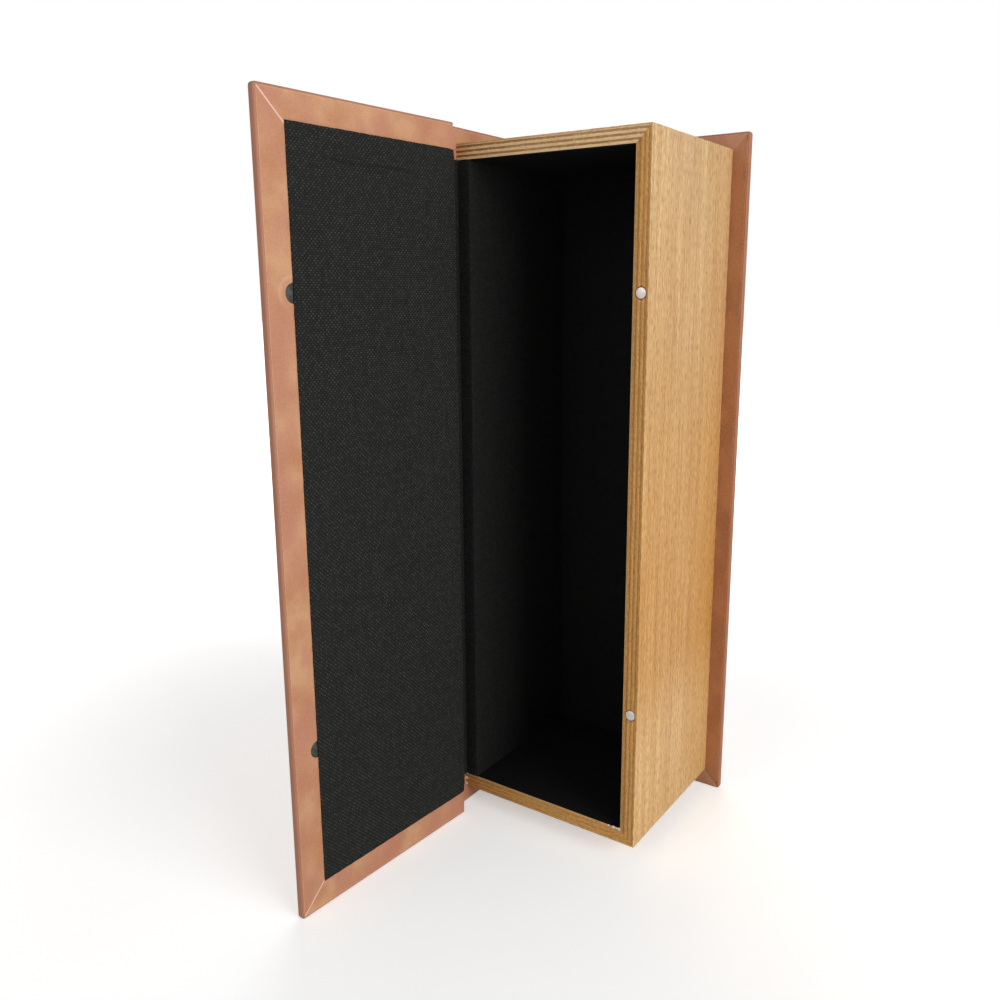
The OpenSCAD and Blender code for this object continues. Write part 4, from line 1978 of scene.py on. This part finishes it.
        # A darker copy of the cloth: painted shade in the gutter and on the tray's wall.
        material = Cloth("black_cloth_spine", thread=(50, 52, 48)).material()
        side = ClothSheet(lay, path, lambda s: low, lambda s: high).build("spine_cloth", material)
        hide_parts("spine_side_lining", "hinge_lining")
        spine_bend(side, lay, Slot.CLOTH)

    def line_tray(self) -> None:
        """Gives the tray's flat linings a weave that follows each wall, in a darker copy of the cloth: painted
        shade inside the tray.
        """
        faces = {
            "top_lining": (Axis.X, Axis.Y), "bottom_lining": (Axis.X, Axis.Y),
            "fore_edge_lining": (Axis.Y, Axis.Z), "back_lining": (Axis.X, Axis.Z),
        }
        for node, (across, along) in faces.items():
            # A darker copy of the cloth: painted shade inside the tray.
            finish = Cloth(
                f"black_cloth_{node}", shade=(9, 10, 9), thread=(30, 32, 29),
                on_object=True, across=across, along=along,
            )
            piece = softened(node, f"{node}_cloth", finish.material(), self.tray_edge)
            placed(piece, Slot.CLOTH, Body.BOX)

    def fray(self, turn: float) -> None:
        """Sets loose threads along the three cut edges of the cloth on the cover.

        Args:
            turn: How far along its path the cloth has turned onto the cover.
        """
        lay, path = self.layout, self.cover_path()
        low, high = lay.box("cover_lining")
        places = [path.at(s, -self.thread_depth) for s in np.linspace(turn + 0.5, path.length, 60)]
        lines = [
            ([lay.world(*place, level) for place in places], Vector((0, 0, side)))
            for level, side in ((low.z, -1.0), (high.z, 1.0))
        ]
        upright = [lay.world(*places[-1], z) for z in np.linspace(low.z, high.z, 120)]
        way = path.at(path.length, 0.0) - path.at(path.length - 1, 0.0)
        lines.append((upright, way.to_3d().normalized()))
        placed(FrayedEdge(self.threads).build("cover_cloth_threads", lines), Slot.CLOTH, Body.COVER)


# ---- Glue ----


@dataclass
class GlueSpecks:
    """Small dried drops of glue along the joints, made by a node tree.

    Attributes:
        layout: The box's sizes.
        material: The dried glue.
        radius: Radius of a drop that is 1 wide.
        flatness: Thickness of every drop, for that radius.
        height: Height of a drop for a width of 1.
        roughness: How far its surface wanders.
        cells_per_m: Cells of that unevenness in a metre.
        proud: How far the drops stand out of the tray's edge.
        seed: Seed of the drops' turns.
    """

    layout: Layout
    material: Material
    radius: float = 0.5
    flatness: float = 0.3
    height: float = 0.7
    roughness: float = 0.12
    cells_per_m: float = 2600.0
    proud: float = 0.04
    seed: int = 7

    def spots(self) -> list[tuple[Vector, float]]:
        """Lists the drops.

        Returns:
            For each drop its place in the frame and its width in millimetres.
        """
        lay = self.layout
        edge, top = lay.box("spine_side_lining")[0], lay.box("bottom_wall")[1].z
        corner = lay.box("bottom_lining")[1].x
        at_mitre = ((0.35, 2.8, 2.6), (0.2, 6.2, 2.3), (1.1, 0.3, 1.2))
        at_cloth = ((226, 0.8), (218, 0.6), (168, 0.6), (70, 0.7))
        at_corner = ((0.2, 1.8), (1.7, 1.1), (3.2, 2.0), (6.1, 1.1))
        drops = [((x, self.proud, top - down), width) for x, down, width in at_mitre]
        drops += [((edge.x + 0.35, edge.y, z), width) for z, width in at_cloth]
        drops += [((corner - back, self.proud, top - 0.1), width) for back, width in at_corner]
        return [(lay.world(*place), width) for place, width in drops]

    def tree(self) -> bpy.types.NodeTree:
        """Builds the tree: a rough ball on each point, realized and coloured.

        Returns:
            The tree.
        """
        kinds = {"Radius": "Float", "Roughness": "Float", "Seed": "Int", "Glue": "Material"}
        g, given, result = geometry_tree("glue_specks", kinds)
        value = given.outputs
        ball = g.add("GeometryNodeMeshIcoSphere", {"Radius": value["Radius"], "Subdivisions": 3})
        turns = {0: (0, 0, 0), 1: (0, 6.28, 0), "Seed": value["Seed"]}
        turn = g.add("FunctionNodeRandomValue", turns, data_type="FLOAT_VECTOR").outputs[0]
        width = g.add("GeometryNodeInputNamedAttribute", {"Name": "width"}, data_type="FLOAT").outputs[0]
        size = g.joined(width, self.flatness, g.times(width, self.height))
        points = g.add("GeometryNodeMeshToPoints", {"Mesh": value["Geometry"]}).outputs[0]
        shape = {"Instance": ball.outputs[0], "Scale": size, "Rotation": turn}
        drops = g.add("GeometryNodeInstanceOnPoints", {"Points": points, **shape})
        real = g.add("GeometryNodeRealizeInstances", {0: drops.outputs[0]})
        rough = g.add("TexNoise", {"Scale": self.cells_per_m, "Detail": 1.0}).outputs[0]
        away = g.times(g.minus(rough, 0.5), value["Roughness"])
        normal = g.add("GeometryNodeInputNormal").outputs[0]
        push = g.add("VectorMath", {0: normal, 3: away}, operation="SCALE").outputs[0]
        moved = g.add("GeometryNodeSetPosition", {"Geometry": real.outputs[0], "Offset": push})
        done = g.add("GeometryNodeSetMaterial", {0: moved.outputs[0], 2: value["Glue"]})
        g.feed(result.inputs[0], done.outputs[0])
        return g.tree

    def build(self) -> None:
        """Makes the drops and rides them on the box."""
        places, widths = zip(*self.spots())
        mesh = bpy.data.meshes.new("glue_specks")
        mesh.from_pydata([tuple(place) for place in places], [], [])
        mesh.attributes.new("width", "FLOAT", "POINT").data.foreach_set("value", widths)
        values = {
            "Radius": self.radius * MM, "Roughness": self.roughness * MM,
            "Seed": self.seed, "Glue": self.material,
        }
        placed(grown(linked("glue_specks", mesh), self.tree(), values), Slot.BOARD, Body.BOX)


# ---- Tray ----


@dataclass
class Tray:
    """The plywood tray with its veneered faces.

    Attributes:
        layout: The box's sizes.
        veneer_edge: Width of the rounding of the veneers and the panel.
        sanded_edge: Width of the rounding of the walls.
    """

    layout: Layout
    veneer_edge: float = 0.22
    sanded_edge: float = 0.06

    def build(self) -> None:
        """Dresses the walls, the veneers and the back panel."""
        self.walls()
        self.veneers()

    def walls(self) -> None:
        """Rounds the walls' edges and gives each its plies."""
        low = self.layout.origin / MM
        high = (self.layout.origin + self.layout.tray * MM) / MM
        golden = functools.partial(
            Plywood, light=(224, 167, 90), dark=(164, 110, 38), rim=(228, 190, 136),
            streaked=0.55, specked=0.45, stained=0.75,
        )
        for node, finish in {
            "top_wall": Plywood("plies_top", Axis.Z, Axis.X, high.z, -1),
            "bottom_wall": golden("plies_bottom", Axis.Z, Axis.X, low.z, 1, contrast=0.38),
            "fore_edge_wall": golden(
                "plies_fore_edge", Axis.X, Axis.Z, high.x, -1, contrast=0.5, band=2.2, lined=(52, 300)
            ),
            "spine_wall": Plywood("plies_spine_side", Axis.X, Axis.Z, low.x, 1),
        }.items():
            piece = softened(node, f"{node}_sanded", finish.material(), self.sanded_edge)
            placed(piece, Slot.PLYWOOD, Body.BOX)

    def veneers(self) -> None:
        """Rounds the veneers' edges and the panel's, and gives each its grain."""
        level = Veneer("veneer_ends", Axis.X, Axis.Y, foot=(228, 188, 132)).material()
        upright = Veneer("veneer_side", Axis.Z, Axis.Y).material()
        panel = Veneer(
            "panel_wood", Axis.Z, Axis.X, light=(176, 138, 98), cloud=(170, 134, 96),
            ripe=(168, 128, 84), foot=(176, 138, 98), pore=(112, 78, 44),
        ).material()
        for node, material, slot in (
            ("top_veneer", level, Slot.VENEER), ("bottom_veneer", level, Slot.VENEER),
            ("fore_edge_veneer", upright, Slot.VENEER), ("back_panel", panel, Slot.PANEL),
        ):
            placed(softened(node, f"{node}_sheet", material, self.veneer_edge), slot, Body.BOX)


# ---- Magnets, discs and boards ----


@dataclass
class Closure:
    """The magnets in the tray's edge, the discs in the cover and the boards inside the leather."""

    rim: float = 0.3

    def build(self) -> None:
        """Rounds the magnets' and discs' rims and dresses the hidden boards."""
        nickel = Metal("nickel", (248, 236, 226), (226, 220, 218), 0.5, 0.38).material()
        steel = Metal("dark_steel", (74, 80, 76), (56, 52, 50), 0.35, 0.5).material()
        for kind, material, slot, body in (
            ("magnet", nickel, Slot.NICKEL, Body.BOX), ("disc", steel, Slot.STEEL, Body.COVER),
        ):
            for node in (f"upper_{kind}", f"lower_{kind}"):
                placed(softened(node, f"{node}_rounded", material, self.rim), slot, body)
        board = PlainFibre("grey_board", (150, 146, 140), (118, 114, 108)).material()
        for node in ("spine_board", "back_board", "front_board"):
            made = frame["nodes"][node]
            made.data.materials.clear()
            made.data.materials.append(board)
            LOG.info("%s: %s", node, board.name)


# ---- Studio ----

BOX_MIDDLE = (0.0, 0.0, 0.17)


@dataclass(frozen=True)
class Lamp:
    """A square soft lamp that faces the box, with its place and side in metres and its power in watts."""

    name: str
    place: tuple[float, float, float]
    side: float
    power: float

    def build(self) -> None:
        """Hangs the lamp."""
        data = bpy.data.lights.new(self.name, "AREA")
        data.shape, data.size, data.energy = "SQUARE", self.side, self.power
        lamp = bpy.data.objects.new(self.name, data)
        lamp.location = self.place
        aim = Vector(BOX_MIDDLE) - Vector(self.place)
        lamp.rotation_euler = aim.to_track_quat("-Z", "Y").to_euler()
        bpy.context.scene.collection.objects.link(lamp)


@dataclass
class Studio:
    """The pale floor, the soft lamps and the camera.

    Attributes:
        eye_mm: The camera's place.
        azimuth_deg: How far the camera is turned from looking along +Y.
        elevation_deg: How far it looks down.
        focal_px: Its focal length, for the picture's width.
        centre_px: Where its axis meets the picture.
        picture_px: The picture's width.
        sensor_mm: The sensor's width.
        lamps: The lamps.
        floor_m: Half the floor's side.
        glow: The floor's own light near the box, and what it gains further out.
        glow_from_to_m: Where that gain starts and ends.
        dim: The surroundings' light on the box, and what its shiny parts see more.
    """

    eye_mm: tuple[float, float, float] = (224.4, -341.2, 277.3)
    azimuth_deg: float = 33.71
    elevation_deg: float = 12.05
    focal_px: float = 894.9
    centre_px: Point = (528.8, 480.0)
    picture_px: float = 1000.0
    sensor_mm: float = 36.0
    lamps: tuple[Lamp, ...] = (
        Lamp("key", (1.5, -0.25, 0.6), 1.1, 18.2),
        Lamp("front", (-0.4, -1.6, 0.75), 1.0, 6.0),
        Lamp("back", (-0.8, 1.3, 1.0), 1.2, 9.0),
    )
    floor_m: float = 6.0
    glow: Point = (0.42, 0.9)
    glow_from_to_m: Point = (0.2, 0.9)
    dim: Point = (0.26, 0.3)

    def build(self) -> None:
        """Makes the floor, the world, the lamps and the camera."""
        self.floor()
        self.world()
        for lamp in self.lamps:
            lamp.build()
        self.camera()
        LOG.info("studio: floor, world, %d lamps and camera", len(self.lamps))

    def floor_material(self) -> Material:
        """Builds a pale material that shows white to the camera outside the box's shadow.

        Returns:
            The material.
        """
        s = Shader("pale_floor")
        grain = s.noise(s.object_mm(), 0.02)
        colour = s.mix(grain, linear((244, 244, 243)), linear((240, 240, 240)))
        x, y, _ = s.parts(s.add("TexCoord").outputs["Object"])
        near, gain = self.glow
        glow = s.times_plus(s.ramp(s.radius(x, y), *self.glow_from_to_m), gain, near)
        seen = s.add("LightPath").outputs["Is Camera Ray"]
        s.finish(Emission_Color=(1, 1, 1, 1), Emission_Strength=s.times(seen, glow))
        return s.finish(Base_Color=colour, Roughness=0.9, Specular_IOR_Level=0.1)

    def floor(self) -> None:
        """Makes the floor."""
        work = bmesh.new()
        bmesh.ops.create_grid(work, x_segments=8, y_segments=8, size=self.floor_m)
        mesh = bpy.data.meshes.new("floor")
        work.to_mesh(mesh)
        work.free()
        mesh.materials.append(self.floor_material())
        linked("floor", mesh)

    def world(self) -> None:
        """Makes an even pale surrounding that the camera sees as white."""
        world = bpy.data.worlds.new("studio")
        bpy.context.scene.world = world
        world.use_nodes = True
        g = Graph(world.node_tree)
        back = world.node_tree.nodes["Background"]
        back.inputs["Color"].default_value = (1.0, 1.0, 1.0, 1.0)
        path = g.add("LightPath").outputs
        seen = g.math("MAXIMUM", path["Is Camera Ray"], path["Is Transmission Ray"])
        least, gain = self.dim
        dim = g.times_plus(path["Is Glossy Ray"], gain, least)
        g.feed(back.inputs["Strength"], g.math("MAXIMUM", seen, dim))

    def camera(self) -> None:
        """Makes the camera and sets it as the scene's."""
        data = bpy.data.cameras.new("camera")
        data.sensor_width = self.sensor_mm
        data.lens = self.focal_px / self.picture_px * self.sensor_mm
        half = self.picture_px / 2
        data.shift_x = (half - self.centre_px[0]) / self.picture_px
        data.shift_y = (self.centre_px[1] - half) / self.picture_px
        camera = bpy.data.objects.new("camera", data)
        camera.location = Vector(self.eye_mm) * MM
        tilt = math.radians(90 - self.elevation_deg)
        camera.rotation_euler = (tilt, 0.0, math.radians(self.azimuth_deg))
        bpy.context.scene.collection.objects.link(camera)
        bpy.context.scene.camera = camera


def main() -> None:
    """Builds the box part by part, then the studio round it."""
    logging.basicConfig(level=logging.INFO)
    bpy.context.scene.view_settings.view_transform = "Standard"
    layout = Layout()
    threads = PlainFibre("loose_threads", (64, 64, 62), (30, 30, 30)).material()
    glue = PlainFibre("dried_glue", (250, 246, 238), (232, 220, 202), 0.55, 0.4).material()
    for part in (
        LeatherCase(layout), Linings(layout, threads), Tray(layout),
        GlueSpecks(layout, glue), Closure(), Studio(),
    ):
        part.build()


if __name__ == "__main__":
    main()
